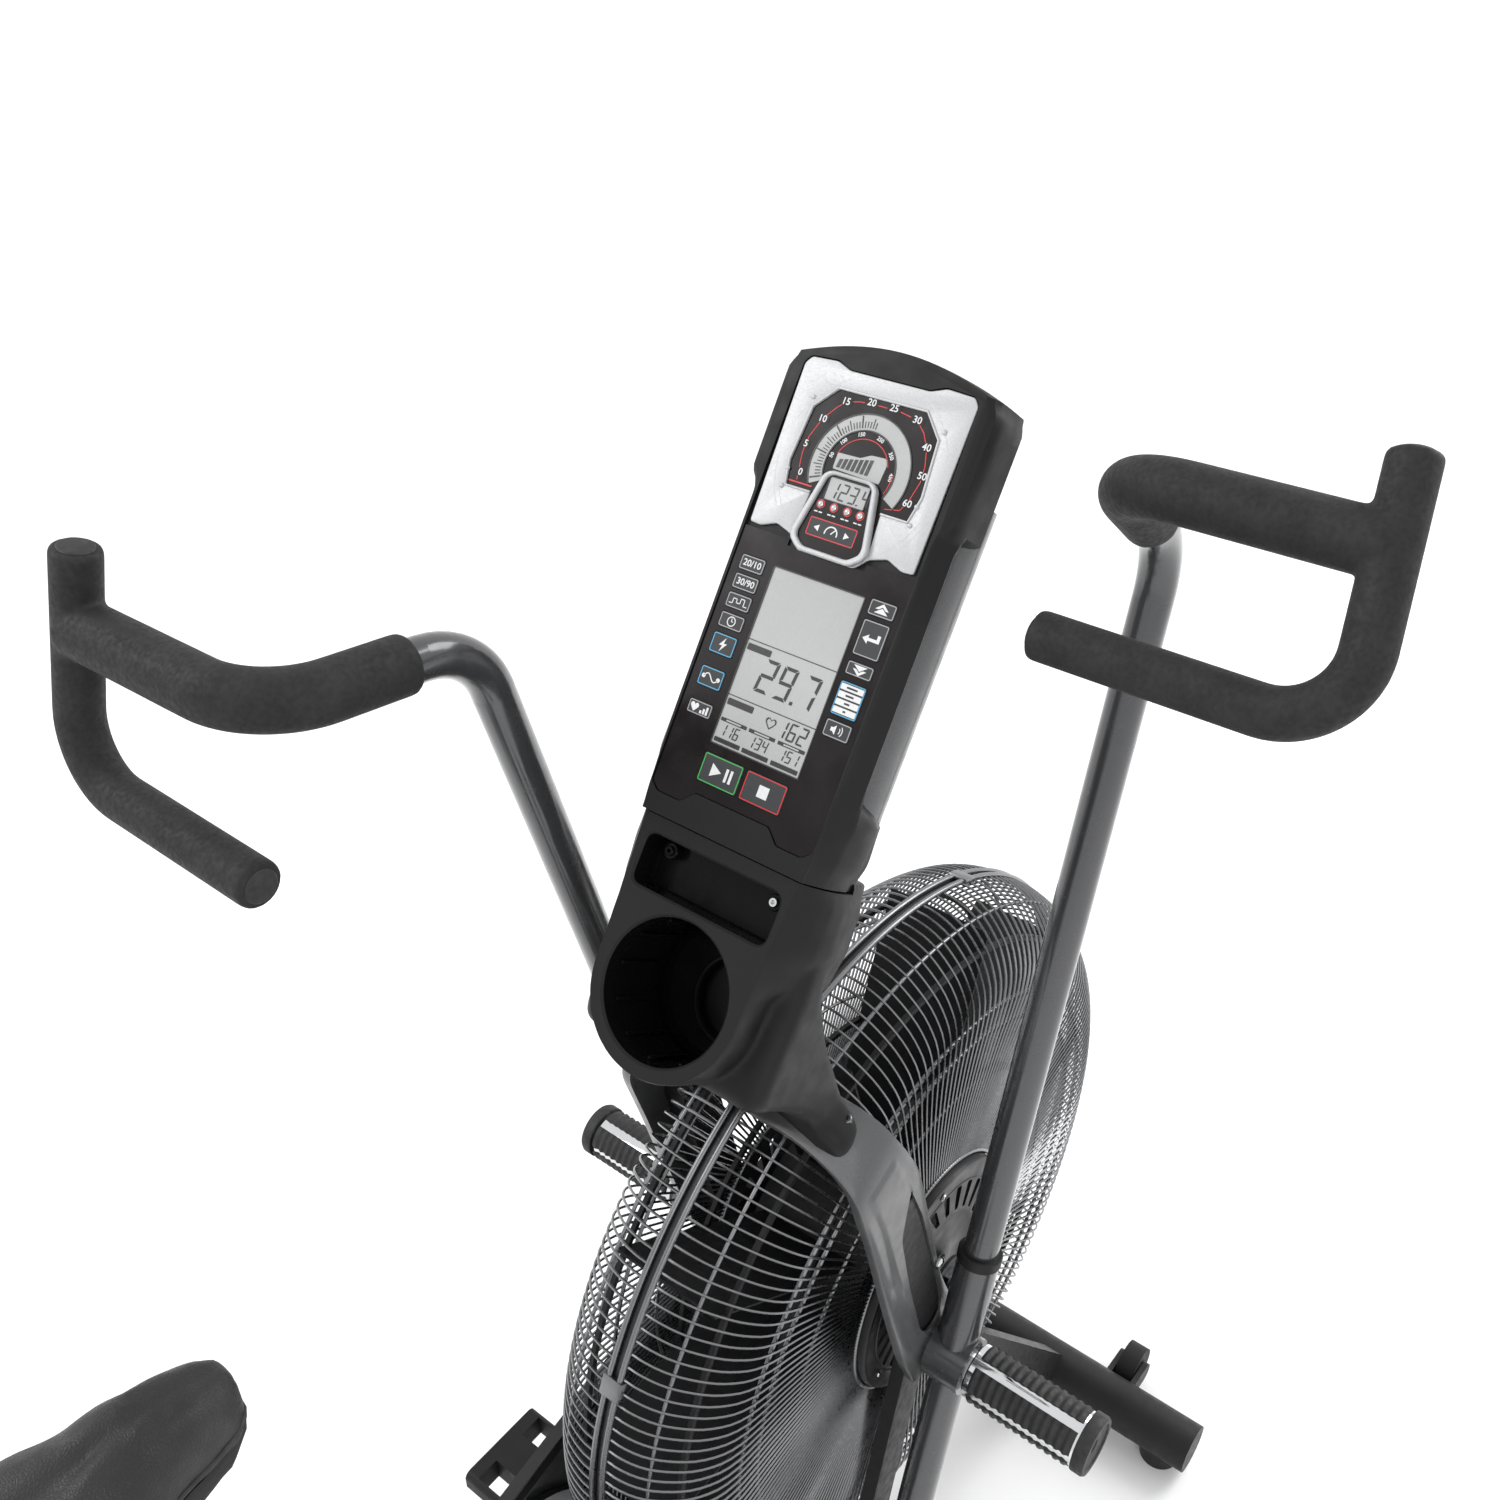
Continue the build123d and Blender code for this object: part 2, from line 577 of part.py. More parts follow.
# ---------------------------------------------------------------- small fixed pieces
def bearings():
    rings = []
    for side in SIDES.values():
        crank = pin(CRANK, BEARING_R, side * 22, side * 34)
        rings.append(crank - pin(CRANK, AXLE_R + RUNNING, side * 21, side * 35))
        fan = pin(FAN, FAN_BEARING_R, side * 52, side * 64)
        rings.append(fan - pin(FAN, FAN_AXLE_R, side * 51, side * 65))
    return rings


def fan_axle():
    axle = pin(FAN, FAN_AXLE_R, -106, 106)
    for side in SIDES.values():
        nut = Pos(*FAN) * RegularPolygon(13, 6)
        axle += lay(nut, side * 99, side * 104)
    return axle


def fasteners():
    """Screws of the hub cover, bolts of the yoke and of both stabilizers."""
    pieces = [pin(around(FAN, 102, 60 * n + 30), 4, -88, -86) for n in range(6)]
    for side in SIDES.values():
        for spot in ((118, 780), (126, 752), (262, 505)):
            pieces.append(pin(spot, 5, side * YOKE_Y[1], side * (YOKE_Y[1] + 2)))
    for x in (-560, 500):
        for y in (-14, 14):
            pieces.append(post(x, y, 7, BEAM_Z[1], BEAM_Z[1] + 5))
    return pieces


# ---------------------------------------------------------------- write every node
save("main_frame", main_frame())
save("rear_stabilizer", rear_stabilizer())
save("front_stabilizer", front_stabilizer())
save("foot_pegs", *foot_pegs())
save("yoke", yoke())
save("mast_tube", mast())
save("mast_cover", mast_cover())
save("console_shell", console_shell())
console_pieces()
save("hub_covers", *hub_covers())
save("left_shroud", left_shroud())
save("right_shroud", right_shroud())
save("drive_belt", belt_loop())
save("fan_hub", fan_hub())
save("fan_blades", fan_blades())
save("fan_axle", fan_axle())
save("bearings", *bearings())
save("fasteners", *fasteners())
save("crank_axle", pin(CRANK, AXLE_R, -109, 109))
save("crank_pulley", crank_pulley())
save("seat_post", seat_post())
save("seat_slider", seat_slider())
save("saddle", saddle())
save("seat_pin", seat_pin())
save("slider_knob", slider_knob())
for word, side in SIDES.items():
    save(f"fan_cage_{word}", cage_half(side))
    save(f"{word}_crank_arm", crank_arm(side))
    save(f"{word}_pedal", pedal(side))
    save(f"{word}_rod", rod(side))
    bar, foam = handlebar(side), grips(side)
    save(f"{word}_arm", bar)
    save(f"{word}_grips", foam - bar)
    save(f"{word}_leveller", leveller(side))
    save(f"{word}_transport_wheel", transport_wheel(side))
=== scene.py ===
import bpy
import bmesh
import json
from math import sin, cos, tan, pi, radians
from mathutils import Matrix, Vector


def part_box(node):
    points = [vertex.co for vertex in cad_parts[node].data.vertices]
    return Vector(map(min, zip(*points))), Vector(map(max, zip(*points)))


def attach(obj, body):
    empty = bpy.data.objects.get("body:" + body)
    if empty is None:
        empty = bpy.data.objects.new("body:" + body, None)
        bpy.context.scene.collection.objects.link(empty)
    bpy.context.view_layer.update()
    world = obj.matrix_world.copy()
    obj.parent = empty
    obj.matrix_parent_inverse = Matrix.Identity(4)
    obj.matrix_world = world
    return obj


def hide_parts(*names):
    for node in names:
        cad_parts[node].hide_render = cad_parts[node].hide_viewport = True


# Looks of the air bike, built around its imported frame.  Metres, unless a table or a comment says mm.
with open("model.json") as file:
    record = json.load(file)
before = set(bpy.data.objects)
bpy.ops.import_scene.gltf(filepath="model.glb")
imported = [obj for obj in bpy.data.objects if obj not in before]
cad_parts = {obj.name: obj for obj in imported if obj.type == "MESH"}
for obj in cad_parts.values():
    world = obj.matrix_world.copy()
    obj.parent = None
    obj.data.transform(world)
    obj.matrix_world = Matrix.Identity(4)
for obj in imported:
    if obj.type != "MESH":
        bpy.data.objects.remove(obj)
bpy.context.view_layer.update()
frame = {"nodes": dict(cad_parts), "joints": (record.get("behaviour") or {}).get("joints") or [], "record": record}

NODES = frame["nodes"]
JOINTS = {joint["name"]: joint for joint in frame["joints"]}
MOUNTS = {mount["name"]: mount for mount in frame["record"]["mounts"]}
MM = 0.001
FAN = Vector(JOINTS["fan_spin"]["pos_m"])
PIVOT = Vector(JOINTS["right_arm_swing"]["pos_m"])


# ---------------------------------------------------------------- console planes
def face_plane():
    """Matrix of the console face: x is the rider's right, y runs up it, z comes out of it."""
    out = -Vector(JOINTS["press_enter"]["axis"]).normalized()
    right = Vector((0, -1, 0))
    up = out.cross(right)
    sheet = [v.co for v in NODES["key_overlay"].data.vertices]
    low = min(up.dot(p) for p in sheet) - 15 * MM
    back = min(out.dot(p) for p in sheet)
    return Matrix.Translation(up * low + out * back) @ Matrix((right, up, out)).transposed().to_4x4()


def lower_plane():
    """Matrix of the lower housing face, through the same seam, square to the drink holder."""
    out = Vector(MOUNTS["drink_holder"]["axis"]).normalized()
    right = Vector((0, -1, 0))
    turn = Matrix((right, out.cross(right), out)).transposed().to_4x4()
    return Matrix.Translation(FACE.translation) @ turn


FACE = face_plane()
LOWER = lower_plane()
BORE_R = MOUNTS["drink_holder"]["dims"]["r_mm"] * MM
BORE_V = (LOWER.inverted() @ Vector(MOUNTS["drink_holder"]["pos_m"])).y


# ---------------------------------------------------------------- materials
class Nodes:
    """Short hand for building one node material."""

    def __init__(self, name, colour, roughness, metallic=0.0):
        self.material = bpy.data.materials.new(name)
        self.material.use_nodes = True
        self.tree = self.material.node_tree
        self.shader = self.tree.nodes["Principled BSDF"]
        self.shader.inputs["Base Color"].default_value = (*colour, 1)
        self.shader.inputs["Roughness"].default_value = roughness
        self.shader.inputs["Metallic"].default_value = metallic
        self.place = self.tree.nodes.new("ShaderNodeTexCoord").outputs["Object"]
        self.normal = None

    def node(self, kind, **values):
        made = self.tree.nodes.new(kind)
        for key, value in values.items():
            if key in made.inputs:
                made.inputs[key].default_value = value
            else:
                setattr(made, key, value)
        return made

    def link(self, start, end):
        self.tree.links.new(start, end)

    def noise(self, scale, detail=4, stretch=None):
        made = self.node("ShaderNodeTexNoise", Scale=scale, Detail=detail)
        source = self.place
        if stretch:
            mapping = self.node("ShaderNodeMapping", Scale=stretch)
            self.link(source, mapping.inputs["Vector"])
            source = mapping.outputs[0]
        self.link(source, made.inputs["Vector"])
        return made.outputs["Fac"]

    def spread(self, source, low, high, a=0.35, b=0.65):
        made = self.node("ShaderNodeMapRange")
        for key, value in (("From Min", a), ("From Max", b), ("To Min", low), ("To Max", high)):
            made.inputs[key].default_value = value
        self.link(source, made.inputs["Value"])
        return made.outputs[0]

    def blend(self, source, first, second, a=0.35, b=0.65):
        ramp = self.node("ShaderNodeValToRGB")
        ramp.color_ramp.elements[0].position, ramp.color_ramp.elements[1].position = a, b
        ramp.color_ramp.elements[0].color = (*first, 1)
        ramp.color_ramp.elements[1].color = (*second, 1)
        self.link(source, ramp.inputs[0])
        self.link(ramp.outputs[0], self.shader.inputs["Base Color"])

    def rough(self, source, low, high):
        self.link(self.spread(source, low, high), self.shader.inputs["Roughness"])

    def bump(self, source, strength, distance):
        made = self.node("ShaderNodeBump", Strength=strength, Distance=distance)
        self.link(source, made.inputs["Height"])
        if self.normal:
            self.link(self.normal, made.inputs["Normal"])
        self.normal = made.outputs[0]
        self.link(self.normal, self.shader.inputs["Normal"])

    def set(self, **values):
        for key, value in values.items():
            self.shader.inputs[key.replace("_", " ")].default_value = value


def surface(name, tone, roughness, shades, wander, grain=None, metallic=0.0,
            span=(0.35, 0.65), **sockets):
    """A finish whose colour and roughness wander with noise, over a noise bump.

    shades: noise scale and detail, dark and light end (each a colour or a factor of the tone)
    wander: noise scale and detail, roughness below and above the mean, maybe a stretch
    grain: noise scale and detail, bump strength and distance, maybe a stretch
    """
    m = Nodes(name, tone, roughness, metallic)
    dark, light = (end if isinstance(end, tuple) else tuple(c * end for c in tone) for end in shades[2:])
    m.blend(m.noise(*shades[:2]), dark, light, *span)
    m.rough(m.noise(*wander[:2], *wander[4:]), max(0.03, roughness + wander[2]), roughness + wander[3])
    if grain:
        m.bump(m.noise(*grain[:2], *grain[4:]), *grain[2:4])
    m.set(**sockets)
    return m.material


def moulded_plastic(name, tone, roughness, grain=1400, depth=0.00012, shine=0.22):
    """Spark-eroded moulding: fine leathery grain, faint flow shading."""
    return surface(name, tone, roughness, (9, 3, 0.86, 1.12), (60, 5, -0.05, 0.07),
                   (grain, 2, 0.35, depth), Specular_IOR_Level=shine)


def ink(name, tone, roughness=0.4):
    return surface(name, tone, roughness, (900, 3, 0.9, 1), (300, 3, -0.06, 0.08))


def metallic_paint(name, tone, roughness, coat):
    """Graphite metallic paint: flake colour, clear coat and a slight orange peel."""
    return surface(name, tone, roughness, (3200, 2, 0.72, 1.3), (80, 4, -0.05, 0.06),
                   (200, 1, 0.06, 0.00006), 0.45, Coat_Weight=coat, Coat_Roughness=0.12)


def powder_coat(name, tone):
    return surface(name, tone, 0.5, (14, 4, 0.85, 1.15), (120, 4, -0.08, 0.08),
                   (900, 3, 0.3, 0.00015), 0.1, Specular_IOR_Level=0.3)


def bare_metal(name, tone, roughness, streak=(1, 1, 1), scale=400, strength=0.12):
    return surface(name, tone, roughness, (14, 3, 0.94, 1), (scale, 3, -0.05, 0.07, streak),
                   (scale, 2, strength, 0.00004, streak), 1.0)


def vinyl():
    """Upholstery vinyl: pebbled leather grain from cells, with broad creases."""
    m = Nodes("saddle vinyl", (0.026, 0.026, 0.027), 0.48)
    m.blend(m.noise(18, 4), (0.011, 0.011, 0.0115), (0.018, 0.018, 0.0185))
    m.set(Specular_IOR_Level=0.35)
    cells = m.node("ShaderNodeTexVoronoi", Scale=520)
    cells.feature = "DISTANCE_TO_EDGE"
    m.link(m.place, cells.inputs["Vector"])
    m.rough(m.noise(90, 4), 0.4, 0.58)
    m.bump(m.spread(cells.outputs["Distance"], 0, 1, 0.0, 0.25), 0.35, 0.0004)
    m.bump(m.noise(26, 3), 0.1, 0.0006)
    return m.material


def circuit_green():
    m = Nodes("board green", (0.02, 0.12, 0.05), 0.35)
    lines = m.node("ShaderNodeTexBrick", Scale=160.0)
    m.link(m.place, lines.inputs["Vector"])
    m.blend(lines.outputs["Fac"], (0.02, 0.10, 0.05), (0.05, 0.22, 0.10))
    m.rough(m.noise(80, 3), 0.28, 0.45)
    return m.material


HOUSING = moulded_plastic("housing black", (0.0072, 0.0072, 0.0076), 0.46)
# darker, glossier black for the drink well, the tray and the parts in them: the gloss belongs to the moulding, and
# the extra dark is painted shade of the deep recesses
WELL_GLOSS_PAINTED_SHADE = moulded_plastic("well black with painted shade", (0.0042, 0.0042, 0.0045), 0.24, 300, 0.00003, 0.1)
KEYCAP = moulded_plastic("keycap grey", (0.04, 0.041, 0.043), 0.42, 900, 0.00006)
NYLON = moulded_plastic("nylon black", (0.012, 0.012, 0.0125), 0.55, 700, 0.0002)
SHROUD = moulded_plastic("shroud black", (0.012, 0.012, 0.013), 0.38, 1000, 0.0001)
# back-printed polycarbonate sheet, smooth, with faint handling haze
OVERLAY = surface("overlay black", (0.0085, 0.0065, 0.0069), 0.22, (30, 3, 1, 1.25), (45, 6, -0.06, 0.12),
                  (700, 2, 0.12, 0.00005), Specular_IOR_Level=0.14, Coat_Weight=0.04, Coat_Roughness=0.2)
# silver painted plate with a fine sparkle and short brushed streaks
SILVER = surface("bezel silver", (0.45, 0.455, 0.465), 0.42,
                 (2600, 2, (0.37, 0.375, 0.385), (0.50, 0.505, 0.515)), (500, 4, -0.08, 0.10, (1, 1, 6)),
                 (2200, 2, 0.25, 0.00006), 0.3, Specular_IOR_Level=0.3)
# reflective display glass over a grey backing with a faint shade
DISPLAY = surface("display grey", (0.47, 0.48, 0.48), 0.28,
                  (5, 2, (0.30, 0.305, 0.305), (0.41, 0.415, 0.415)), (120, 3, -0.08, 0.06),
                  (1500, 2, 0.05, 0.00003), span=(0.3, 0.7), Specular_IOR_Level=0.25,
                  Coat_Weight=0.15, Coat_Roughness=0.1)
WHITE = ink("print white", (0.66, 0.665, 0.67))
RED = ink("print red", (0.62, 0.012, 0.016))
GREEN = ink("print green", (0.03, 0.42, 0.07))
BLUE = ink("print blue", (0.06, 0.34, 0.58))
PRINT_BLACK = ink("print black", (0.012, 0.012, 0.013), 0.35)
RIM_GREY = ink("key rim grey", (0.30, 0.31, 0.32))
GRAPHITE = metallic_paint("graphite paint", (0.085, 0.086, 0.089), 0.34, 0.3)
TUBE_PAINT = metallic_paint("tube paint", (0.062, 0.063, 0.066), 0.22, 0.6)
FRAME_BLACK = powder_coat("frame black", (0.014, 0.014, 0.015))
FAN_BLACK = powder_coat("fan black", (0.008, 0.008, 0.009))
WIRE_STEEL = bare_metal("cage wire", (0.20, 0.202, 0.208), 0.3)
CHROME = bare_metal("chrome", (0.62, 0.63, 0.64), 0.06, scale=120, strength=0.03)
STEEL = bare_metal("machined steel", (0.21, 0.212, 0.218), 0.3, (1, 8, 1), 260)
ALLOY = bare_metal("cast alloy", (0.24, 0.244, 0.25), 0.42, (1, 1, 1), 500, 0.3)
# closed cell foam: finely pitted skin, slightly uneven dye
FOAM = surface("grip foam", (0.015, 0.015, 0.0155), 0.72,
               (60, 4, (0.0125, 0.0125, 0.013), (0.0185, 0.0185, 0.019)), (300, 4, -0.12, 0.08),
               (1500, 3, 0.35, 0.00018), Specular_IOR_Level=0.3)
RUBBER = surface("rubber black", (0.011, 0.011, 0.011), 0.62, (40, 4, 0.8, 1.4), (200, 4, -0.08, 0.1),
                 (800, 3, 0.35, 0.0002))
VINYL = vinyl()
BOARD = circuit_green()

# ---------------------------------------------------------------- mesh tools
def cleaned(mesh, welded=True):
    """Welds double points and turns every face outwards."""
    work = bmesh.new()
    work.from_mesh(mesh)
    if welded:
        bmesh.ops.remove_doubles(work, verts=work.verts, dist=1e-6)
    bmesh.ops.recalc_face_normals(work, faces=work.faces)
    work.to_mesh(mesh)
    work.free()
    return mesh


def settle(name, mesh, material, body, angle=32, welded=True):
    """A smooth shaded object, sharp at edges over the angle, that rides on a body."""
    cleaned(mesh, welded)
    for face in mesh.polygons:
        face.use_smooth = True
    mesh.set_sharp_from_angle(angle=radians(angle))
    if material and not mesh.materials:
        mesh.materials.append(material)
    made = scratch(mesh, name)
    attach(made, body)
    return made


def baked(obj):
    """The mesh of an object with its modifiers applied."""
    bpy.context.view_layer.update()
    graph = bpy.context.evaluated_depsgraph_get()
    return bpy.data.meshes.new_from_object(obj.evaluated_get(graph), depsgraph=graph)


def scratch(mesh, name="scratch"):
    made = bpy.data.objects.new(name, mesh)
    bpy.context.scene.collection.objects.link(made)
    return made


def drop(*objects):
    for obj in objects:
        bpy.data.objects.remove(obj)


def modified(mesh, *steps):
    """The mesh after modifiers, each given as its type and its settings."""
    base = scratch(mesh)
    for kind, settings in steps:
        step = base.modifiers.new("step", kind)
        for key, value in settings.items():
            setattr(step, key, value)
    result = baked(base)
    drop(base)
    return result


def raw(verts, faces):
    mesh = bpy.data.meshes.new("raw")
    mesh.from_pydata([tuple(v) for v in verts], [], faces)
    return cleaned(mesh)


def merged(parts):
    """One mesh from several (verts, faces) pairs."""
    verts, faces = [], []
    for some_verts, some_faces in parts:
        start = len(verts)
        verts += list(some_verts)
        faces += [tuple(start + i for i in face) for face in some_faces]
    return verts, faces


def loft(rings, caps=True):
    """Skin over rings of equal point counts."""
    count, verts, faces = len(rings[0]), [p for ring in rings for p in ring], []
    for k in range(len(rings) - 1):
        for i in range(count):
            j = (i + 1) % count
            faces.append((k * count + i, k * count + j, (k + 1) * count + j, (k + 1) * count + i))
    if caps:
        faces.append(tuple(reversed(range(count))))
        faces.append(tuple(range((len(rings) - 1) * count, len(rings) * count)))
    return verts, faces


def skin(rings, caps=True):
    return raw(*loft(rings, caps))


def tube(path, radius, sides=12):
    """Round bar along a path; radius is a number or one number for each point."""
    points, side, rings = [Vector(p) for p in path], None, []
    radii = radius if isinstance(radius, (list, tuple)) else [radius] * len(points)
    for i, (p, r) in enumerate(zip(points, radii)):
        ahead = (points[min(i + 1, len(points) - 1)] - points[max(i - 1, 0)]).normalized()
        if side is None:
            side = ahead.orthogonal().normalized()
        side = (side - ahead * side.dot(ahead)).normalized()
        other = ahead.cross(side)
        rings.append([p + (side * cos(t) + other * sin(t)) * r
                      for t in (2 * pi * k / sides for k in range(sides))])
    return loft(rings)


def hoop(centre, ring_r, wire_r, y, count=160, sides=8):
    """Ring about an axis along Y."""
    verts, faces = [], []
    for k in range(count):
        a = 2 * pi * k / count
        for s in range(sides):
            b = 2 * pi * s / sides
            r = ring_r + wire_r * cos(b)
            verts.append((centre.x + r * cos(a), y + wire_r * sin(b), centre.z + r * sin(a)))
    for k in range(count):
        for s in range(sides):
            n, t = (k + 1) % count, (s + 1) % sides
            faces.append((k * sides + s, n * sides + s, n * sides + t, k * sides + t))
    return verts, faces


def turned(profile, matrix, steps=96, caps=True):
    """Solid of revolution about the matrix's z axis; profile is (radius, height)."""
    rings = [[matrix @ Vector((r * cos(2 * pi * k / steps), r * sin(2 * pi * k / steps), h))
              for k in range(steps)] for r, h in profile]
    return skin(rings, caps)


def flat_shape(outlines, depth, bevel=0.0, matrix=Matrix()):
    """Plate mesh from closed outlines in x, y; inner outlines are holes; z from 0 to depth."""
    curve = bpy.data.curves.new("outline", "CURVE")
    curve.dimensions, curve.fill_mode = "2D", "BOTH"
    curve.extrude = max(depth / 2 - bevel, 0)
    curve.bevel_depth, curve.bevel_resolution = bevel, 2
    curve.offset = -bevel
    for points in outlines:
        spline = curve.splines.new("POLY")
        spline.points.add(len(points) - 1)
        for spot, (x, y) in zip(spline.points, points):
            spot.co = (x, y, 0, 1)
        spline.use_cyclic_u = True
    mesh = modified(curve)
    mesh.transform(matrix @ Matrix.Translation((0, 0, depth / 2)))
    return mesh


def lettering(text, size, matrix, turn=0.0):
    """Mesh of a number or plain sign, a little bolder than its font."""
    curve = bpy.data.curves.new("digits", "FONT")
    curve.body, curve.size, curve.align_x, curve.align_y = text, size, "CENTER", "CENTER"
    curve.offset, curve.resolution_u = 0.00009, 3
    mesh = modified(curve)
    mesh.transform(matrix @ Matrix.Rotation(turn, 4, "Z"))
    return mesh


def joined(name, meshes, body, angle=32, welded=True):
    """One piece from (mesh, material) pairs; each keeps its own material."""
    work, materials = bmesh.new(), []
    for mesh, material in meshes:
        if material not in materials:
            materials.append(material)
        before = len(work.faces)
        work.from_mesh(mesh)
        work.faces.ensure_lookup_table()
        for face in work.faces[before:]:
            face.material_index = materials.index(material)
    out = bpy.data.meshes.new(name)
    work.to_mesh(out)
    work.free()
    for material in materials:
        out.materials.append(material)
    return settle(name, out, None, body, angle, welded)


def boolean(mesh, cutters):
    """The mesh less all the cutters."""
    tools = [scratch(cutter, "cutter") for cutter in cutters]
    result = modified(mesh, *(("BOOLEAN", {"object": tool, "operation": "DIFFERENCE", "solver": "EXACT"})
                              for tool in tools))
    drop(*tools)
    return result


def remeshed(mesh, voxel, smooth):
    """One smooth skin over everything in the mesh."""
    return modified(mesh, ("REMESH", {"mode": "VOXEL", "voxel_size": voxel}),
                    ("SMOOTH", {"iterations": smooth, "factor": 0.5}))


def rounded(points, radius, steps=5):
    """Closed outline in mm with its corners rounded, returned in metres."""
    out, count = [], len(points)
    for i in range(count):
        p, a, b = (Vector(points[k % count]) for k in (i, i - 1, i + 1))
        u, w = (a - p), (b - p)
        r = min(radius, u.length * 0.49, w.length * 0.49)
        if r < 0.05:
            out.append(tuple(p * MM))
            continue
        start, end = p + u.normalized() * r, p + w.normalized() * r
        for k in range(steps + 1):
            t = k / steps
            q = start * (1 - t) ** 2 + p * 2 * t * (1 - t) + end * t * t
            out.append(tuple(q * MM))
    return out


def box_outline(x0, x1, y0, y1, radius, steps=5):
    return rounded([(x0, y0), (x1, y0), (x1, y1), (x0, y1)], radius, steps)


def mirrored(points):
    return points + [(-x, y) for x, y in reversed(points)]


def polar(radius, degrees, centre):
    return centre[0] + radius * cos(radians(degrees)), centre[1] + radius * sin(radians(degrees))


def in_metres(points):
    return [(x * MM, y * MM) for x, y in points]


def ring_outline(radius, count, centre):
    return in_metres(polar(radius, 360 * k / count, centre) for k in range(count))


def outward(x, y, z, side):
    """Seat on a face that looks to one side of the bike: its z axis is +Y or -Y."""
    return Matrix.Translation((x, y, z)) @ Matrix.Rotation(-side * pi / 2, 4, "X")


def level(plane, height_mm):
    return plane @ Matrix.Translation((0, 0, height_mm * MM))


def table_at(knots, values, v):
    """Smoothly read values given at rising knots."""
    if v <= knots[0]:
        return values[0]
    for k in range(len(knots) - 1):
        if v <= knots[k + 1]:
            t = (v - knots[k]) / (knots[k + 1] - knots[k])
            t = t * t * (3 - 2 * t)
            return values[k] * (1 - t) + values[k + 1] * t
    return values[-1]


# ---------------------------------------------------------------- console shell
# heights up the face at which the hood's half width is given, mm
HOOD_KNOTS = (0, 20, 44, 64, 74, 222, 229, 235, 240, 306, 318.5)
HOOD_SLICES = {   # height over the face, mm: half width at each knot, mm
    2.6: (65.6, 66.8, 67.6, 68, 68.2, 68.2, 69, 71, 73, 73.5, 68),
    2.2: (66.3, 67.5, 68.3, 68.7, 68.9, 68.9, 69.8, 72, 74, 74.5, 69.5),
    0: (67.0, 68.4, 69.4, 69.6, 69.5, 69.5, 71, 76, 77.6, 77.8, 73),
    -5: (69.6, 71.6, 73.6, 73.4, 73, 73, 75, 79, 79.8, 80, 76),
    -12: (72.6, 75.6, 78.8, 78.6, 78.5, 78, 79, 80, 80, 80, 76.5),
    -14.5: (73.4, 76.8, 80, 78.4, 77.5, 77, 79, 80, 80, 80, 76.5),
    -16: (73.8, 77.3, 80.4, 72, 60, 60, 66, 80, 80, 80, 76.5),
    -26: (75.4, 79.4, 82.4, 68, 57, 57, 66, 79.8, 79.8, 79.8, 76.5),
    -40: (75.8, 80.2, 82, 62, 56, 56, 66, 79.4, 79.4, 79.4, 76),
    -45: (75, 79.2, 80.4, 60, 55, 55, 66, 77, 77, 77, 74),
    -46: (74, 78.2, 79.4, 59, 55, 55, 65, 76, 76, 76, 73),
    -58: (72, 76, 75, 50, 40, 40, 40, 40, 40, 40, 40),
}
ARCH_RISE = 13.1   # of the rounded top, mm
# right half of the outline of the sunk pocket in the face, mm
POCKET_RIM = [(0, 313.6), (29.5, 313.6), (40.5, 317.8), (61.5, 316.6), (65.7, 311.4), (66.6, 203),
              (66.6, 20), (59.4, 14.3), (39.8, 14.3), (30, 23.4), (0, 23.4)]


def hood_ring(height, widths):
    foot = 0.4 + 0.0294 * min(height, 0)
    levels = [foot + (318.5 - foot) * k / 84 for k in range(85)]
    side = [(table_at(HOOD_KNOTS, widths, v), v) for v in levels]
    reach = side[-1][0]
    drop = 0 if height > -41 else 1.5
    arch = [(reach * cos(pi * k / 30), 318.5 - drop + (ARCH_RISE - drop) *
             (1 - cos(pi * k / 30) ** 2)) for k in range(1, 30)]
    base = [(reach_u, foot) for reach_u in (-widths[0] * 0.6, 0, widths[0] * 0.6)]
    ring = base + side + arch + [(-u, v) for u, v in reversed(side)]
    return [FACE @ Vector((u * MM, v * MM, height * MM)) for u, v in ring]


def console_shell():
    body = skin([hood_ring(h, w) for h, w in HOOD_SLICES.items()])
    pocket = flat_shape([rounded(mirrored(POCKET_RIM), 2.2)], 0.01, 0, FACE)
    return boolean(body, [pocket])


# the same for the lower housing, down its own face
LOWER_KNOTS = (-104.5, -88, -66, -40, -17, 0)
LOWER_SLICES = {   # height: half width at each knot, radius of the drink boss, all mm
    3: ((58, 58.2, 59, 60, 61, 62), 58),
    0: ((59.4, 59.6, 60.5, 61.5, 62.6, 63.8), 59.4),
    -4: ((60.4, 60.8, 62.2, 64.4, 66.6, 67.4), 60.4),
    -10: ((60.8, 61.6, 65, 69.4, 71.4, 71.2), 60.8),
    -18: ((61, 62, 68.6, 75, 76.2, 74.4), 61),
    -28: ((61, 62.4, 72.4, 80, 80.2, 76.2), 61),
    -40: ((60.6, 62.6, 75, 82.6, 81.6, 76.6), 60.6),
    -52: ((59, 63, 77, 82.4, 80.6, 75.8), 59),
    -62: ((56.5, 64, 77, 80.4, 78.6, 74), 56.5),
    -78: ((53, 60, 73, 76, 75, 71), 53.5),
    -82: ((50, 57, 70, 73, 72, 68), 50),
}
TRAY = (-56, 56, -48.5, -12.5)   # left, right, bottom and top of the tray, mm
CAGE_CLEAR_R = 0.3724   # the neck's foot is cut round the cage, m


def lower_ring(height, widths, radius):
    levels = [6 + (BORE_V / MM - 6) * k / 42 for k in range(43)]
    right = [(table_at(LOWER_KNOTS, widths, v), v) for v in levels]
    arc = [(radius * cos(pi * k / 48), BORE_V / MM - radius * sin(pi * k / 48)) for k in range(1, 48)]
    top = [(-widths[-1] * t, 6) for t in (0.6, 0, -0.6)]
    ring = top + right + arc + [(-u, v) for u, v in reversed(right)]
    return [LOWER @ Vector((u * MM, v * MM, height * MM)) for u, v in ring]


